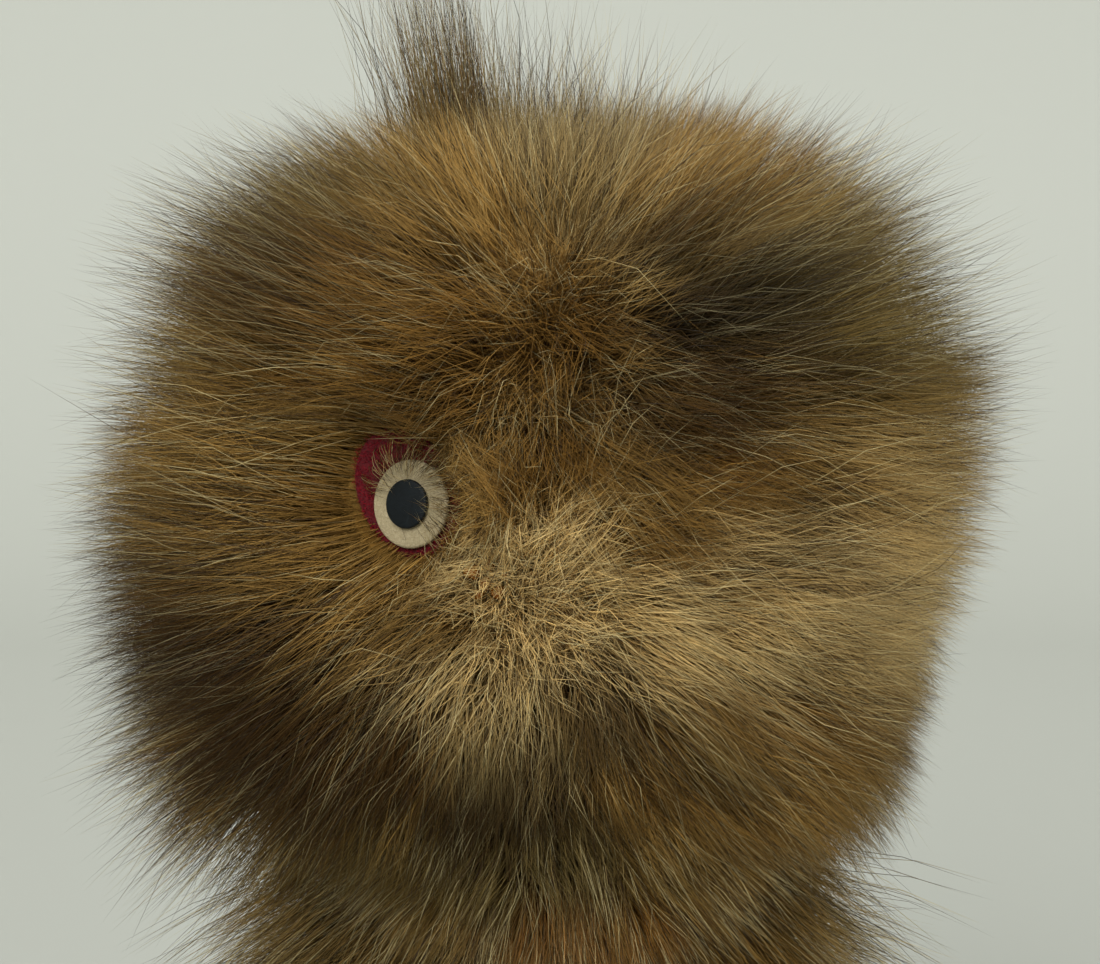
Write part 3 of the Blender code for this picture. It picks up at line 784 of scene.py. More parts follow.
def headHairs(kind):
    values = headFur[kind]
    seeds = evenDirections(int(values["count"] / values["bunch"] / (1)))
    seeds = seeds[draw.uniform(size=len(seeds)) < np.where(seeds[:, 1] < 0.15, 1.0, 0.62)]
    bunch = np.repeat(np.arange(len(seeds)), values["bunch"])
    root, normal = headSkin(unit(seeds[bunch] + draw.normal(size=(len(bunch), 3)) * values["spread"]))
    keep = growsOnHead(root)
    root, normal, bunch = root[keep], normal[keep], bunch[keep]
    count = len(root)
    along = headFlow(root, normal)
    outwards = np.abs(normal[:, 0]) + 0.8 * np.maximum(normal[:, 2], 0) + 0.8 * np.maximum(normal[:, 1], 0)
    outwards = smooth(outwards, 0.35, 0.95)[:, None]
    gap, apart = gapFrom(eyes["right"], root)
    nearEye = (1 - smooth(gap, *eyeHair["near"])) * (root[:, 1] < 0)
    nose = nearEye * (apart[:, 0] > 0)
    lift = (0.42 + 0.48 * outwards) * (1 - 0.55 * nearEye[:, None])
    lean = draw.normal(size=(len(seeds), 3))[bunch] * values["bunchLean"]
    wild = np.where(draw.uniform(size=(count, 1)) < (0.16 if kind == "guard" else 0.0), 2.6, 1.0)
    stray = draw.normal(size=(count, 3)) * values["stray"] * wild
    tame = 1 - 0.7 * nearEye[:, None]
    start = unit(normal * (lift + 0.5 * tame) + along * 0.55 + (lean + stray) * tame)
    end = unit(normal * lift + along * (1.25 - 0.5 * outwards) + (lean * 1.4 + stray * 1.2) * tame - up * 0.10)
    length = lengthTo(root, (start + end) / 2, values["longest"]) * draw.uniform(*values["shares"], count)
    lock = cellsOf(root, 12 * mm)
    length = length * draw.uniform(0.89, 1.06, lock.max() + 1)[lock]
    fromDisc = root - eyes["right"]["white"]
    fromDisc = fromDisc - eyes["right"]["axis"] * (fromDisc @ eyes["right"]["axis"])[:, None]
    discGap = np.linalg.norm(fromDisc, axis=1)
    towards = -((start + end) / 2 * fromDisc).sum(axis=1) / np.maximum(discGap, 1e-6)
    stops = np.where(towards > 0.15, (discGap - eyeHair["stopsAt"]) / np.maximum(towards, 0.15), 1)
    crossing = draw.uniform(size=count) < eyeHair["crossing"]
    length = np.where((root[:, 1] < 0) & ~crossing, np.minimum(length, stops), length)
    length = length * (1 - 0.55 * nearEye - 0.25 * nose)
    return finishHairs(root, start, end, np.maximum(length, eyeHair["shortest"]), bunch, values["gather"], kind)


# Short fuzz along the line between the whorls, where the long hair parts

fuzzFur = {
    "under": {
        "count": 9000, "bunch": 6, "within": 22 * mm, "length": 20 * mm, "width": 0.20 * mm, "wave": 1.2 * mm,
        "segments": 2, "gather": 0.35,
    },
    "guard": {
        "count": 1800, "bunch": 2, "within": 26 * mm, "length": 28 * mm, "width": 0.15 * mm, "wave": 1.6 * mm,
        "segments": 3, "gather": 0.1,
    },
}


def fuzzHairs(kind):
    """Roots scattered round points of the line between the whorls, leaning every way."""
    values = fuzzFur[kind]
    seeds = values["count"] // values["bunch"]
    share = draw.uniform(-0.15, 1.45, (seeds, 1))
    middle = flow["low"] + share * (flow["high"] - flow["low"])
    place = middle + draw.normal(size=(seeds, 3)) * [values["within"] * 0.55, 0, values["within"] * 0.35]
    bunch = np.repeat(np.arange(seeds), values["bunch"])
    directions = place[bunch] + draw.normal(size=(len(bunch), 3)) * 1.2 * mm - headMiddle
    root, normal = headSkin(directions)
    keep = growsOnHead(root)
    root, normal, bunch = root[keep], normal[keep], bunch[keep]
    lean = draw.normal(size=(seeds, 3))[bunch] * 0.45
    stray = draw.normal(size=root.shape) * 0.25
    start = unit(normal * 0.9 + lean + stray)
    end = unit(normal * 0.35 + headFlow(root, normal) * 0.5 + lean * 1.8 + stray - up * 0.1)
    gap, apart = gapFrom(eyes["right"], root)
    length = values["length"] * draw.uniform(0.6, 1.2, len(root)) * (0.3 + 0.7 * smooth(gap, 9 * mm, 20 * mm))
    return finishHairs(root, start, end, length, bunch, values["gather"], kind)


# Below the skull the nape's skin is a skirt round the neck's upright line, from the skull down to the neck's top

skirt = {
    "top": 156 * mm, "bottom": 129 * mm, "behind": 38.5 * mm, "beside": 44 * mm, "low": 41 * mm, "length": 44 * mm,
    "count": {"under": 5200, "guard": 2200}, "share": {"under": 0.75, "guard": 1.0},
}


def skirtPoint(angle, height):
    """The distance runs evenly from the skull's, nearer behind than beside, to that of the neck."""
    share = (height - skirt["bottom"]) / (skirt["top"] - skirt["bottom"])
    high = skirt["behind"] + (skirt["beside"] - skirt["behind"]) * np.abs(np.cos(angle)) ** 1.5
    far = skirt["low"] + (high - skirt["low"]) * share
    return np.stack([far * np.cos(angle), neckMiddle[1] + far * np.sin(angle), height + 0 * angle], -1)


def skirtHairs(kind):
    values = headFur[kind]
    seeds = int(skirt["count"][kind] / values["bunch"])
    step = np.arange(seeds) + 0.5
    bunch = np.repeat(np.arange(seeds), values["bunch"])
    spread = draw.normal(size=(2, len(bunch))) * 1.8 * mm
    turn = (step * 0.618034 % 1)[bunch]
    angle = np.radians(-18 + 216 * turn) + spread[0] / skirt["low"]
    height = skirt["bottom"] + (step / seeds)[bunch] * (skirt["top"] - skirt["bottom"]) + spread[1]
    root = skirtPoint(angle, height)
    outward = np.stack([np.cos(angle), np.sin(angle), 0 * angle], -1)
    lean = draw.normal(size=(seeds, 3))[bunch] * 0.16
    stray = draw.normal(size=root.shape) * values["stray"]
    start = unit(outward * 0.9 - up * 0.25 + lean + stray)
    end = unit(outward * 0.45 - up * 0.95 + lean * 1.3 + stray)
    length = skirt["length"] * skirt["share"][kind] * draw.uniform(0.72, 1.1, len(root))
    return finishHairs(root, start, end, length, bunch, values["gather"], kind)


def only(hairs, keep):
    return {key: value[keep] for key, value in hairs.items()}


looks = {"under": underfurLook, "guard": guardLook}
titles = {"under": "Underfur", "guard": "GuardHair"}
for kind in ("under", "guard"):
    hairs = headHairs(kind)
    inFront = hairs["root"][:, 1] < faceHigh[1]
    title, values, look = titles[kind], headFur[kind], looks[kind]
    growStrands("face" + title, only(hairs, inFront), values, look, "head")
    growStrands("bridge" + title, fuzzHairs(kind), fuzzFur[kind], look, "head")
    growStrands("nape" + title, only(hairs, ~inFront), values, look, "head")
    growStrands("collar" + title, skirtHairs(kind), values, look, "head")

# The tuft on the crown: each lock is (across, back, lean across, length, spread, share), in millimetres

tuft = {
    "locks": (
        (-16, -4, -0.14, 76, 4.6, 0.28), (-9, 3, 0.02, 58, 8.0, 0.20), (0, -2, 0.10, 54, 9.0, 0.24),
        (12, 1, 0.24, 50, 9.0, 0.16), (22, -2, 0.50, 42, 9.0, 0.12),
    ),
    "under": {"count": 1200, "width": 0.19 * mm, "wave": 2.6 * mm, "segments": 2, "shares": (0.45, 0.85)},
    "guard": {"count": 1500, "width": 0.16 * mm, "wave": 3.0 * mm, "segments": 3, "shares": (0.45, 1.08)},
}


def tuftHairs(kind):
    values = tuft[kind]
    locks = np.array(tuft["locks"], float)
    lock = draw.choice(len(locks), values["count"], p=locks[:, 5] / locks[:, 5].sum())
    across, back, leanAcross, length, spread, _ = locks[lock].T
    flat = np.stack([across, back], -1) * mm + draw.normal(size=(len(lock), 2)) * (spread * mm)[:, None]
    p = headShape["squareness"]
    high = (1 - ((np.abs(flat) / headSemi[:2]) ** p).sum(axis=1)) ** (1 / p)
    root = np.column_stack([flat, headMiddle[2] + headSemi[2] * high])
    lean = np.column_stack([leanAcross, draw.normal(size=len(lock)) * 0.06, np.ones(len(lock))])
    loose = np.where(lock == 0, 0.16, 0.30)[:, None]
    start = unit(lean + draw.normal(size=lean.shape) * loose)
    end = unit(lean * [1.4, 1, 1] + draw.normal(size=lean.shape) * loose * 1.3)
    length = length * mm * draw.uniform(*values["shares"], len(lock))
    hairs = finishHairs(root, start, end, length, lock, 0.12, kind, lockGather=0.0)
    dark = smooth(-root[:, 0], 2 * mm, 14 * mm)[:, None, None]
    hairs["colours"][:, 0] = coat["grey"] * 1.1
    hairs["colours"][:, 1:] *= 1 - 0.45 * dark
    return hairs


tuftPieces = []
for kind in ("under", "guard"):
    tuftPieces += growStrands("tuft" + titles[kind], tuftHairs(kind), tuft[kind], looks[kind], "head")
print("head fur grown:", furPieces)

# Chin: its skin runs from the lower board's edge down under the foam

chinFur = {
    "middle": np.array([0, (chinLow[1] + chinHigh[1]) / 2, lowerBoardHigh[2]]),
    "under": {
        "count": 8000, "bunch": 10, "gather": 0.5, "length": 24 * mm, "width": 0.22 * mm, "wave": 1.4 * mm,
        "segments": 2, "stray": 0.12,
    },
    "guard": {
        "count": 3200, "bunch": 3, "gather": 0.2, "length": 32 * mm, "width": 0.18 * mm, "wave": 0.8 * mm,
        "segments": 3, "stray": 0.18,
    },
}


def boardReach(angle, grown=0.0):
    """Distance from the chin's middle to the edge of the mouth board: the board is the ellipse
    (x/a)^2 + (y/b)^2 = 1 in front of the hinge line, so it is the nearer of the ellipse and that line."""
    a, b = boardHigh[0] + grown, -boardLow[1] + grown
    c, s = np.cos(angle), np.sin(angle)
    y = chinFur["middle"][1]
    square, line, rest = (c / a) ** 2 + (s / b) ** 2, y * s / b**2, (y / b) ** 2 - 1
    onEllipse = (-line + np.sqrt(line**2 - square * rest)) / square
    back = (lowerBoardHigh[1] - y + grown) / np.maximum(s, 1e-3)
    return np.where(s > 0, np.minimum(onEllipse, back), onEllipse)


def chinSkin(angle, share, grown):
    """share 0 is the board's edge and 1 the lowest point: the distance is the board's times cos, the drop is sin."""
    far = boardReach(angle, grown) * np.cos(share * math.pi / 2) ** 0.8
    drop = (chinFur["middle"][2] - chinLow[2] + grown) * np.sin(share * math.pi / 2) ** 0.9
    return chinFur["middle"] + np.stack([far * np.cos(angle), far * np.sin(angle), 0 * angle - drop], -1)


def chinHairs(kind):
    values = chinFur[kind]
    seeds = int(values["count"] / values["bunch"])
    bunch = np.repeat(np.arange(seeds), values["bunch"])
    step = np.arange(seeds) + 0.5
    angle = (step * math.pi * (3 - math.sqrt(5)) % (2 * math.pi))[bunch] + draw.normal(size=len(bunch)) * 0.05
    share = np.clip(1 - np.sqrt(step / seeds)[bunch] + draw.normal(size=len(bunch)) * 0.03, 0.02, 0.98)
    keep = ~((np.sin(angle) > 0.85) & (share < 0.2))  # bare where the jaw folds at the hinge
    angle, share, bunch = angle[keep], share[keep], bunch[keep]
    root = chinSkin(angle, share, 0.8 * mm)
    outward = unit(root - chinFur["middle"] - [0, 0, -6 * mm])
    away = outward - up * 0.75
    lean = draw.normal(size=(seeds, 3))[bunch] * 0.16
    stray = draw.normal(size=root.shape) * values["stray"]
    start = unit(outward * 0.9 - up * 0.15 + lean + stray)
    end = unit(away + lean * 1.3 + stray)
    length = values["length"] * draw.uniform(0.7, 1.1, len(root)) * np.where(root[:, 1] > -14 * mm, 0.8, 1)
    return finishHairs(root, start, end, length, bunch, values["gather"], kind)


for kind in ("under", "guard"):
    growStrands("chin" + titles[kind], chinHairs(kind), chinFur[kind], looks[kind], "jaw")

# Neck and sleeve: hair on upright tubes, the neck's in three pieces between its joints

bodyFur = {
    "neck": {"radius": neckHigh[0] - 0.6 * mm, "length": 60 * mm, "outwards": 1.25, "down": 0.54},
    "sleeve": {"radius": sleeveLow[0] * -1 - 14.6 * mm, "length": 38 * mm, "outwards": 0.75, "down": 0.80},
    "under": {
        "perArea": 0.55, "bunch": 12, "gather": 0.5, "share": 0.76,
        "width": 0.23 * mm, "wave": 1.5 * mm, "segments": 2,
    },
    "guard": {
        "perArea": 0.22, "bunch": 3, "gather": 0.2, "share": 1.0,
        "width": 0.19 * mm, "wave": 1.2 * mm, "segments": 3,
    },
}


def tubeHairs(part, kind, low, high):
    """Hair on a tube, spread evenly by the golden angle, outwards and down, with perArea hairs to the square
    millimetre."""
    values, shape = bodyFur[kind], bodyFur[part]
    seeds = int(2 * math.pi * shape["radius"] * (high - low) / mm**2 * values["perArea"] / values["bunch"])
    step = np.arange(seeds) + 0.5
    bunch = np.repeat(np.arange(seeds), values["bunch"])
    spread = draw.normal(size=(2, len(bunch))) * 1.7 * mm
    angle = (step * math.pi * (3 - math.sqrt(5)))[bunch] + spread[0] / shape["radius"]
    height = np.clip(low + (step / seeds)[bunch] * (high - low) + spread[1], low, high)
    outward = np.stack([np.cos(angle), np.sin(angle), 0 * angle], -1)
    root = outward * shape["radius"] + np.stack([0 * angle, neckMiddle[1] + 0 * angle, height], -1)
    lean = draw.normal(size=(seeds, 3))[bunch] * 0.17
    wild = np.where(draw.uniform(size=(len(root), 1)) < (0.08 if kind == "guard" else 0), 2.6, 1)
    stray = draw.normal(size=root.shape) * 0.13 * wild
    swirl = np.stack([drift(root, 0.045, seed) for seed in (21, 22, 23)], axis=1) * 0.22
    start = unit(outward * (shape["outwards"] + 0.25) - up * shape["down"] * 0.4 + lean + stray + swirl)
    end = unit(outward * shape["outwards"] * 0.7 - up * shape["down"] * 1.2 + lean * 1.3 + stray + swirl)
    length = shape["length"] * values["share"] * draw.uniform(0.72, 1.1, len(root))
    inner = smooth(-root[:, 1] + neckMiddle[1], 0.2 * shape["radius"], 0.9 * shape["radius"])
    if part == "neck":
        length = length * (1 - 0.2 * inner)  # shorter behind the chin
    return finishHairs(root, start, end, length, bunch, values["gather"], kind)


neckLevels = [neckLow[2], *neckJoints, neckHigh[2]]
neckBodies = ("sleeve", "neck_lower", "neck_upper", "head")
neckPieces, neckHides = [], []
for number, level in enumerate(("Low", "Middle", "High")):
    low, high = neckLevels[number : number + 2]
    bodies = (*neckBodies[number : number + 2], (0, neckMiddle[1], low), (0, neckMiddle[1], high))
    for kind in ("under", "guard"):
        title = f"neck{titles[kind]}{level}"
        hairs = tubeHairs("neck", kind, low, high)
        neckPieces += growStrands(title, hairs, bodyFur[kind], looks[kind], blended=bodies)
    wall = tube(neckMiddle[1], neckHigh[0] - 0.4 * mm, 1.0 * mm, low, high, 12)
    hide = addPiece(f"neckHide{level}", [wall], hideLook)
    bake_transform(hide)
    neckHides.append(hide)
for kind in ("under", "guard"):
    hairs = tubeHairs("sleeve", kind, sleeveLow[2] + 1 * mm, sleeveHigh[2])
    growStrands("sleeve" + titles[kind], hairs, bodyFur[kind], looks[kind], "sleeve")
print("chin, neck and sleeve fur grown")

# Hides under the fur

hideSet = {"over": 1.3 * mm, "thickness": 1.0 * mm, "pit": 3.0 * mm, "rows": 70, "columns": 200}


def headWall(angle, low, high, grown):
    """Grid of the skin grown outwards, from the height high down to low for each angle, dipping under the eyes."""
    p = headShape["squareness"]
    semi = headSemi + grown

    def steepness(height):
        return np.arccos(np.clip(power((height - headMiddle[2]) / semi[2], p / 2), -1, 1))

    share = np.linspace(0, 1, hideSet["rows"])[:, None]
    steep = steepness(high) * (1 - share) + steepness(low) * share
    across = power(np.sin(steep), 2 / p)
    points = np.stack(
        [
            semi[0] * across * power(np.cos(angle), 2 / p),
            semi[1] * across * power(np.sin(angle), 2 / p),
            headMiddle[2] + semi[2] * power(np.cos(steep), 2 / p),
        ],
        -1,
    )
    outward = unit(points - headMiddle)
    for eye in eyes.values():
        gap, _ = gapFrom(eye, points.reshape(-1, 3))
        pit = (1 - smooth(gap.reshape(points.shape[:2]), 9.0 * mm, 11.0 * mm)) * (points[..., 1] < 0)
        points = points - outward * (pit * hideSet["pit"])[..., None]
    return points


def seamHeight(angle, y, lower):
    """Height of the skin where it crosses the plane of that y, or lower where it doesn't."""
    p = headShape["squareness"]
    reachBack = headSemi[1] * power(np.sin(angle), 2 / p)
    across = np.clip(y / np.where(reachBack > y, reachBack, y), 0, 1)
    return np.where(reachBack > y, headMiddle[2] + headSemi[2] * (1 - across**p) ** (1 / p), lower)


def makeHeadHides():
    """The face's hide goes round the head from the crown to the lip, and to the seam behind. The nape's hangs
    from the seam to the neck. The face's is turned in along the lip to meet the mouth board."""
    turn = np.arange(hideSet["columns"]) * 2 * math.pi / hideSet["columns"]
    bottom = seamHeight(turn, faceHigh[1], faceLow[2] + 0.1 * mm)
    top = np.full(len(turn), headMiddle[2] + headSemi[2] * 0.9995)
    outer = headWall(turn, bottom, top, hideSet["over"])
    inner = headWall(turn, bottom, top, hideSet["over"] - hideSet["thickness"])
    lip = smooth(-inner[..., 2], -(boardHigh[2] + 0.6 * mm), -(boardHigh[2] + 0.2 * mm))[..., None]
    angle = np.arctan2(inner[..., 1], inner[..., 0])
    a, b = boardHigh[0] + 0.5 * mm, -boardLow[1] + 0.5 * mm
    edge = 1 / np.sqrt((np.cos(angle) / a) ** 2 + (np.sin(angle) / b) ** 2)
    onBoard = np.stack([edge * np.cos(angle), edge * np.sin(angle), inner[..., 2]], -1)
    inner = inner + (onBoard - inner) * lip
    face = addPiece("faceHide", [shell(outer, inner)], hideLook, "head")
    back = np.linspace(0.16, math.pi - 0.16, 90)
    top = seamHeight(back, faceHigh[1] + 0.4 * mm, headMiddle[2])
    bottom = np.full(len(back), skirt["top"] - 2 * mm)
    walls = [headWall(back, bottom, top, hideSet["over"] - part) for part in (0, hideSet["thickness"])]
    turn, height = np.radians(np.linspace(-18, 198, 100)), np.linspace(skirt["top"], skirt["bottom"], 14)[:, None]
    hanging = skirtPoint(turn, height)
    middle = np.array([0, neckMiddle[1], 0]) * np.ones(hanging.shape)
    middle[..., 2] = hanging[..., 2]
    inside = hanging - unit(hanging - middle) * hideSet["thickness"]
    parts = [shell(*walls, around=False), shell(hanging, inside, around=False)]
    return face, addPiece("napeHide", parts, hideLook, "head")


def makeChinHide():
    angle = np.arange(96) * 2 * math.pi / 96
    share = np.linspace(0, 0.985, 24)[:, None]
    walls = [chinSkin(angle, share, grown * mm) for grown in (0.9, 0.2)]
    return addPiece("chinHide", [shell(*walls)], hideLook, "jaw")


faceHide, napeHide = makeHeadHides()
chinHide = makeChinHide()
sleeveRadius = bodyFur["sleeve"]["radius"] + 0.4 * mm
sleeveWall = tube(neckMiddle[1], sleeveRadius, 1.0 * mm, sleeveLow[2] + 0.3 * mm, sleeveHigh[2], 30)
sleeveHide = addPiece("sleeveHide", [sleeveWall], hideLook, "sleeve")
for piece in (faceHide, napeHide, chinHide, sleeveHide, *neckHides):
    points = np.empty(len(piece.data.vertices) * 3, np.float32)
    piece.data.vertices.foreach_get("co", points)
    own = coatColour(points.reshape(-1, 3).astype(float)) * [0.92, 0.84, 0.66]
    layer = piece.data.color_attributes.new("strandColour", "FLOAT_COLOR", "POINT")
    layer.data.foreach_set("color", np.column_stack([own, np.ones(len(own))]).astype(np.float32).ravel())
for piece, nodes in (
    (faceHide, ["face_pelt"]), (napeHide, ["back_pelt"]), (chinHide, ["chin_pelt"]), (sleeveHide, ["sleeve_pelt"]),
    (tuftPieces[0], ["crown_tuft"]), (neckPieces[0], ["neck_pelt"]),
):
    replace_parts(piece, *nodes)
print("hides made")

# Eyes

eyeSet = {
    "felt": {"radius": 10.5 * mm, "thickness": 1.0 * mm, "ragged": 0.045},
    "white": {"radius": 8.0 * mm, "thickness": 1.2 * mm, "crown": 0.15 * mm},
    "pupil": {"radius": 4.45 * mm, "thickness": 0.8 * mm, "crown": 0.25 * mm},
    "fuzz": {"count": 2200, "length": 1.3 * mm, "width": 0.09 * mm, "wave": 0.3 * mm, "segments": 2},
}


def raggedEdge(seed, size):
    """A hand-cut edge: one plus a few cosines of the angle."""
    source = np.random.default_rng(seed)
    waves = [(k, source.uniform(0.3, 1) / k, source.uniform(0, 6.3)) for k in (2, 3, 5, 8, 13)]
    return lambda angle: 1 + size * sum(part * np.cos(k * angle + turn) for k, part, turn in waves)


def makeEye(word, seed):
    eye = eyes[word]
    pieces = {}
    looksOf = (("felt", redFelt, "red_felt"), ("white", creamFelt, "eye_cream"), ("pupil", blackDisc, "eye_black"))
    for part, material, slot in looksOf:
        values = eyeSet[part]
        sides = (feltOval["long"], feltOval["wide"]) if part == "felt" else (values["radius"], values["radius"])
        long, wide = (side / values["radius"] for side in sides)
        profile = discProfile(values["radius"], values["thickness"], values.get("crown", 0), 9)
        ragged = raggedEdge(seed + len(pieces), values.get("ragged", 0.008))

        def oval(angle):
            return ragged(angle) / np.hypot(np.cos(angle) / long, np.sin(angle) / wide)

        form = turned(eye[part], feltWays(eye), profile, 96, oval)
        name = f"eye{part.capitalize()}{word.capitalize()}"
        pieces[part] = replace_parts(addPiece(name, [form], material, "head"), f"eye_{part}_{word}")
    values = eyeSet["fuzz"]
    count = values["count"]
    angle, far = draw.uniform(0, 2 * math.pi, count), np.sqrt(draw.uniform(0.45, 1.02, count))
    axes = feltWays(eye)
    flat = np.stack([np.cos(angle), np.sin(angle)], -1) * far[:, None] * [feltOval["long"], feltOval["wide"]]
    root = eye["felt"] + flat @ axes[:2] + axes[2] * eyeSet["felt"]["thickness"] * 0.4
    start = unit(axes[2] * 0.8 + draw.normal(size=(count, 3)) * 0.7 + 0.3 * unit(flat) @ axes[:2])
    red = linear(150, 24, 40) * draw.uniform(0.5, 1.3, (count, 1))
    hairs = {
        "root": root, "start": start, "end": unit(start + draw.normal(size=(count, 3)) * 0.8),
        "length": values["length"] * draw.uniform(0.5, 1.2, count), "colours": np.repeat(red[:, None], 3, axis=1),
    }
    growStrands("eyeFuzz" + word.capitalize(), hairs, values, fuzzLook, "head")


def makeLashes(word, values):
    """Short hair rooted round part of an eye, from the arc's first angle to its last, lying across its edge."""
    eye = eyes[word]
    axes = facing(eye["axis"])
    count = values["count"]
    angle = draw.uniform(*np.radians(values["arc"]), count)
    ring = np.stack([np.cos(angle), np.sin(angle)], -1)
    root = eye["white"] + (ring * draw.uniform(8.8, 14.0, (count, 1)) * mm) @ axes[:2] - axes[2] * 1.6 * mm
    inward = -ring @ axes[:2] + draw.normal(size=(count, 3)) * 0.28
    start = unit(axes[2] * 0.9 + inward * 0.5)
    end = unit(axes[2] * values["lay"] + inward)
    length = values["length"] * draw.uniform(0.5, 1.1, count)
    bunch = np.arange(count) // 4
    return finishHairs(root, start, end, length, bunch, 0.2, "guard")


makeEye("right", 71)
makeEye("left", 91)
lashes = {
    "right": {
        "count": 260, "length": 8.0 * mm, "width": 0.14 * mm, "wave": 0.4 * mm, "segments": 3, "arc": (-60, 175),
        "lay": 0.55,
    },
    "left": {
        "count": 1500, "length": 18 * mm, "width": 0.20 * mm, "wave": 0.8 * mm, "segments": 3, "arc": (70, 300),
        "lay": 0.34,
    },
}
for word, values in lashes.items():
    growStrands("eyeLashes" + word.capitalize(), makeLashes(word, values), values, guardLook, "head")


def makeGlueDrops():
    """Dried drops of glue beside the eye: low domes of different sizes, standing on the skin."""
    drops = (
        (-15.5, 193.6, 1.5), (-13.0, 191.8, 1.2), (-12.2, 194.8, 1.0), (-10.5, 190.4, 1.3), (-14.4, 190.0, 0.9),
        (-9.2, 193.0, 0.8),
    )
    parts = []
    for number, (across, height, size) in enumerate(drops):
        place, outward = headSkin(np.array([[across * mm, -60 * mm, height * mm - headMiddle[2]]]))
        profile = discProfile(size * mm, 1.1 * size * mm, 0.5 * size * mm, 5)
        middle = place[0] + outward[0] * 4.5 * mm
        parts.append(turned(middle, facing(outward[0]), profile, 24, raggedEdge(31 + number, 0.35)))
    return addPiece("glueDrops", parts, glueLook, "head")


makeGlueDrops()
print("eyes made")

# Mouth

mouthSet = {"feltIn": 1.0 * mm, "stitchArc": (152, 388), "stitches": 34, "stitchesIn": 1.6 * mm}


def plateIn(node, material, body, name, inset, wave, seed):
    """A flat plate with the board's outline, its rim rounded and its faces a little uneven."""
    low, high = corners(node)
    centre = np.array([0, chinFur["middle"][1], (low[2] + high[2]) / 2])
    profile = discProfile(1.0, high[2] - low[2], 0, 12)
    points, faces = turned(centre, np.eye(3), profile, 144, lambda angle: boardReach(angle, -inset))
    points[:, 2] += wave * drift(points * [1, 1, 0], 0.012, seed) * 0.5
    points[:, 2] = np.clip(points[:, 2], low[2] - 0.15 * mm, high[2] + 0.15 * mm)
    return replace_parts(addPiece(name, [(points, faces)], material, body), node)


plateIn("upper_mouth_board", cardLook, "head", "upperBoard", 0.1 * mm, 0.05 * mm, 51)
plateIn("lower_mouth_board", cardLook, "jaw", "lowerBoard", 0.1 * mm, 0.05 * mm, 52)
plateIn("upper_palate_felt", redFelt, "head", "upperPalateFelt", mouthSet["feltIn"], 0.12 * mm, 53)
plateIn("lower_palate_felt", redFelt, "jaw", "lowerPalateFelt", mouthSet["feltIn"], 0.12 * mm, 54)


def makeTongue():
    """A strip with a round end: far is the nearer of the strip's side and the round end, and it has a low groove."""
    low, high = corners("tongue")
    centre = (low + high) / 2
    half, long = (high - low)[:2] / 2

    def edge(angle):
        c, s = np.abs(np.cos(angle)), np.abs(np.sin(angle))
        return 1 / ((c / half) ** 3.2 + (s / long) ** 3.2) ** (1 / 3.2)

    points, faces = turned(centre, np.eye(3), discProfile(1.0, high[2] - low[2], 0, 14), 96, edge)
    groove = np.exp(-((points[:, 0] / (1.6 * mm)) ** 2)) * 0.22 * mm
    points[:, 2] -= np.where(points[:, 2] > centre[2], groove, 0)
    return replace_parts(addPiece("tongueFelt", [(points, faces)], redFelt, "jaw"), "tongue")


def makeHingeRoll():
    """A rolled strip of felt along the hinge, from end to end along X, with the strip's edge as a low step."""
    middle = (rollLow + rollHigh) / 2
    radius, half = (rollHigh[2] - rollLow[2]) / 2, rollHigh[0]
    along = np.linspace(-1, 1, 60)
    body = np.stack([radius * (1 - 0.10 * np.abs(along) ** 30) + 0 * along, along * (half - 0.3 * mm)], -1)
    profile = np.concatenate([[[0, -half]], [[radius * 0.75, -half]], body, [[radius * 0.75, half]], [[0, half]]])
    axes = np.array([[0, 1, 0], [0, 0, 1], [1, 0, 0]])
    seam = lambda angle: 1 - 0.10 * (angle / (2 * math.pi))
    roll = addPiece("hingeRoll", [turned(middle, axes, profile, 40, seam)], redFelt, "head")
    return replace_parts(roll, "mouth_hinge_roll")


makeTongue()
makeHingeRoll()


def makeMouthStitches(name, height, body, upDown):
    """Thread round the edge of a palate felt, one stitch every few millimetres."""
    angle = np.linspace(*np.radians(mouthSet["stitchArc"]), mouthSet["stitches"])
    far = boardReach(angle, -mouthSet["feltIn"] - mouthSet["stitchesIn"])
    middle = chinFur["middle"]
    places = np.stack([middle[0] + far * np.cos(angle), middle[1] + far * np.sin(angle), 0 * angle + height], -1)
    along = unit(np.gradient(places, axis=0))
    outward = np.tile(upDown * up, (len(angle), 1))
    return addPiece(name, stitches(places, along, outward, 2.6 * mm, 0.45 * mm), threadLook, body)


makeMouthStitches("upperPalateStitches", corners("upper_palate_felt")[0][2] - 0.05 * mm, "head", -1)
makeMouthStitches("lowerPalateStitches", corners("lower_palate_felt")[1][2] + 0.05 * mm, "jaw", 1)
print("mouth made")

# Neck and sleeve trimmings

trimSet = {
    "ribs": 64, "ribDepth": 0.28 * mm, "folds": 9, "foldDepth": 0.30 * mm, "stitches": 72, "hemInside": 38.7 * mm,
    "hemStitchesAt": 38.6 * mm,
}


def ringStitches(name, radius, height, count, body, slant=0.0):
    """Stitches round a ring's inner face, each slanted by that share of a right angle."""
    angle = np.arange(count) * 2 * math.pi / count
    outward = np.stack([np.cos(angle), np.sin(angle), 0 * angle], -1)
    places = outward * radius + np.stack([0 * angle, 0 * angle + neckMiddle[1], 0 * angle + height], -1)
    around = np.cross(up, outward)
    along = unit(around * math.cos(slant * math.pi / 2) + up * math.sin(slant * math.pi / 2))
    return addPiece(name, stitches(places, along, -outward, 2.0 * mm, 0.4 * mm), threadLook, body)


def ribbed(depth, ribs):
    return lambda angle, height: depth * (np.cos(ribs * angle) - 1) + 0 * height


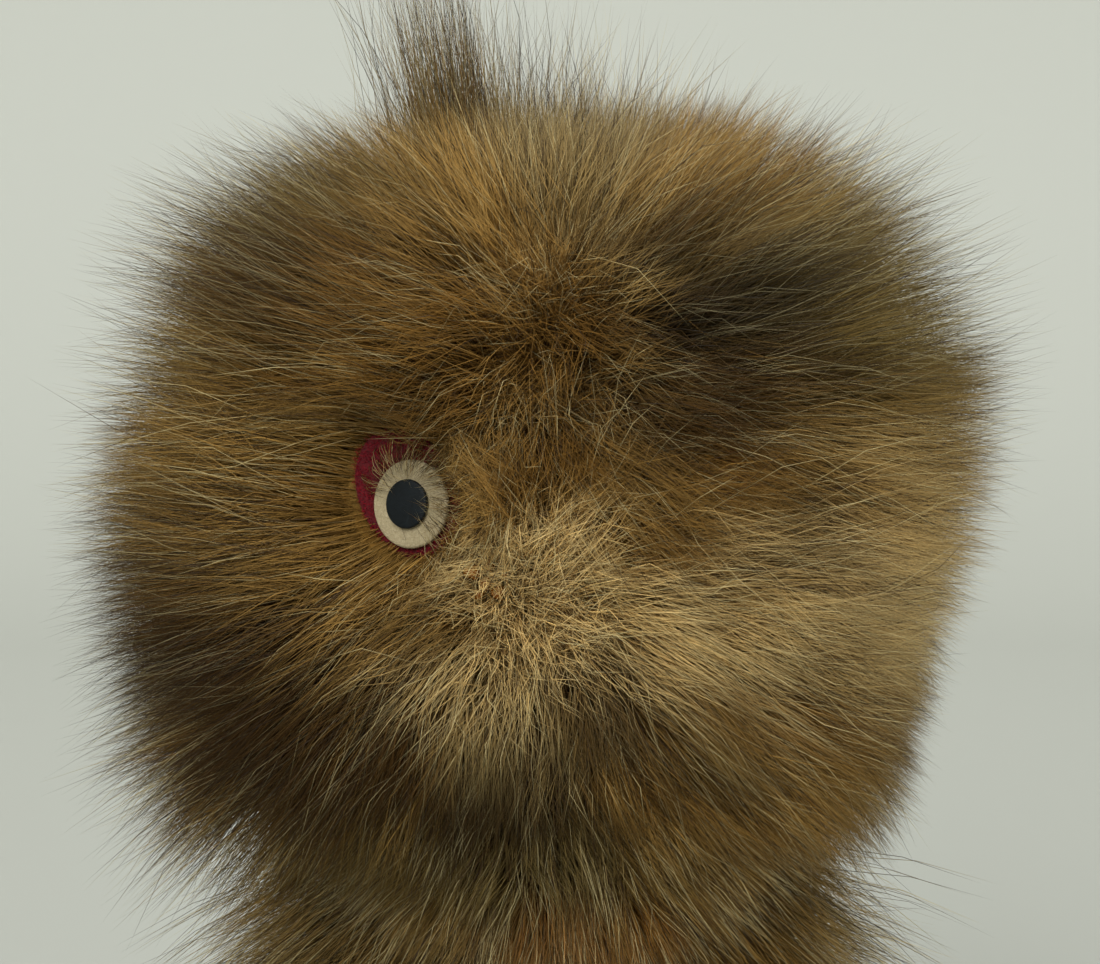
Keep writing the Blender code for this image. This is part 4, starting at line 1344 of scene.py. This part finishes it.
def folded(low, high):
    """Soft upright folds that fade towards both ends."""

    def bulge(angle, height):
        share = (height - low) / (high - low)
        return trimSet["foldDepth"] * (np.cos(trimSet["folds"] * angle + 2 * share) - 1) * np.sin(math.pi * share)

    return bulge


ribs = ribbed(trimSet["ribDepth"], trimSet["ribs"])
elastic = tube(neckMiddle[1], elasticHigh[0], 1.4 * mm, elasticLow[2], elasticHigh[2], 9, 512, ribs)
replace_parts(addPiece("neckElasticBand", [elastic], tapeLook, "neck_lower"), "neck_elastic")
binding = tube(neckMiddle[1], bindingHigh[0], 1.6 * mm, bindingLow[2], bindingHigh[2], 9, 360, ribbed(0.08 * mm, 90))
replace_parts(addPiece("neckBindingTape", [binding], tapeLook, "neck_upper"), "neck_binding")
hemWall = hemHigh[0] - trimSet["hemInside"]
hem = tube(neckMiddle[1], hemHigh[0], hemWall, hemLow[2], hemHigh[2], 16, 360, ribbed(0.05 * mm, 60))
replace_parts(addPiece("hemTape", [hem], tapeLook, "sleeve"), "hem_binding")
lining = tube(
    neckMiddle[1], liningHigh[0], 0.9 * mm, liningLow[2], liningHigh[2], 40, 240, folded(liningLow[2], liningHigh[2])
)
sleeveLining = addPiece("sleeveLiningCloth", [lining], liningLook, "sleeve")
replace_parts(sleeveLining, "sleeve_lining")
for name, height in (("hemStitchesUpper", hemHigh[2] - 1.5 * mm), ("hemStitchesLower", hemLow[2] + 1.5 * mm)):
    ringStitches(name, trimSet["hemStitchesAt"], height, trimSet["stitches"], "sleeve")
bindingInside = bindingHigh[0] - 1.75 * mm
ringStitches("neckBindingStitches", bindingInside, bindingLow[2] + 1.2 * mm, 60, "neck_upper")

for node, material in (
    ("skull_foam", foamLook), ("chin_foam", foamLook), ("head_lining", liningLook), ("finger_pocket", liningLook),
    ("thumb_pocket", liningLook),
):
    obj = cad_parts[node]
    obj.data.materials.clear()
    obj.data.materials.append(material)
print("neck and sleeve trimmed")

# Stage and light

stageSet = {
    "flat": 1.15, "bend": 0.9, "wall": 1.4, "paper": linear(168, 170, 162),
    "sky": (0.80, 0.82, 0.80, 1), "skyStrength": 0.46,
}
lightSet = {  # kind, place that it shines from, strength, and width in metres or in degrees of sky
    "keyLight": ("SUN", (-0.42, -1.20, 0.96), 2.3, 34),
    "fillLight": ("SUN", (0.80, -0.75, 0.45), 1.35, 44),
    "topLight": ("AREA", (0.0, 0.0, 1.9), 24.0, 1.8),
}


def makeStage():
    """A round floor that bends up on every side into a wall: flat, then a quarter circle, then upright."""
    turn = np.linspace(0, math.pi / 2, 20)
    flat, bend = stageSet["flat"], stageSet["bend"]
    far = np.concatenate([[1e-4, flat * 0.5], flat + bend * np.sin(turn), [flat + bend]])[:, None]
    high = np.concatenate([[0, 0], bend * (1 - np.cos(turn)), [bend + stageSet["wall"]]])[:, None]
    angle = np.arange(128) * 2 * math.pi / 128
    points = np.stack([far * np.cos(angle), far * np.sin(angle), high + 0 * angle], -1)
    mesh = bpy.data.meshes.new("backdrop")
    mesh.from_pydata(points.reshape(-1, 3), [], quadsOf(len(far), 128, True).tolist())
    mesh.polygons.foreach_set("use_smooth", np.ones(len(mesh.polygons), bool))
    material, _, shader = newMaterial("backdropPaper", 0.9)
    shader.inputs["Base Color"].default_value = (*stageSet["paper"], 1)
    mesh.materials.append(material)
    backdrop = bpy.data.objects.new("backdrop", mesh)
    backdrop.visible_shadow = False  # the suns shine through its wall
    collection.objects.link(backdrop)


def makeLight(name, kind, place, energy, size):
    """A soft light aimed at the head."""
    data = bpy.data.lights.new(name, kind)
    data.energy = energy
    if kind == "SUN":
        data.angle = math.radians(size)
    else:
        data.size = size
    light = bpy.data.objects.new(name, data)
    light.location = place
    away = np.array(place) - headMiddle
    steep = math.atan2(math.hypot(away[0], away[1]), away[2])
    light.rotation_euler = (steep, 0, math.atan2(away[1], away[0]) + math.pi / 2)
    collection.objects.link(light)


makeStage()
for name, (kind, place, energy, size) in lightSet.items():
    makeLight(name, kind, place, energy, size)
world = bpy.data.worlds.new("room")
world.use_nodes = True
sky = world.node_tree.nodes["Background"]
sky.inputs["Color"].default_value = stageSet["sky"]
sky.inputs["Strength"].default_value = stageSet["skyStrength"]
bpy.context.scene.world = world
bpy.context.scene.view_settings.view_transform = "Standard"
print("stage and lights made")
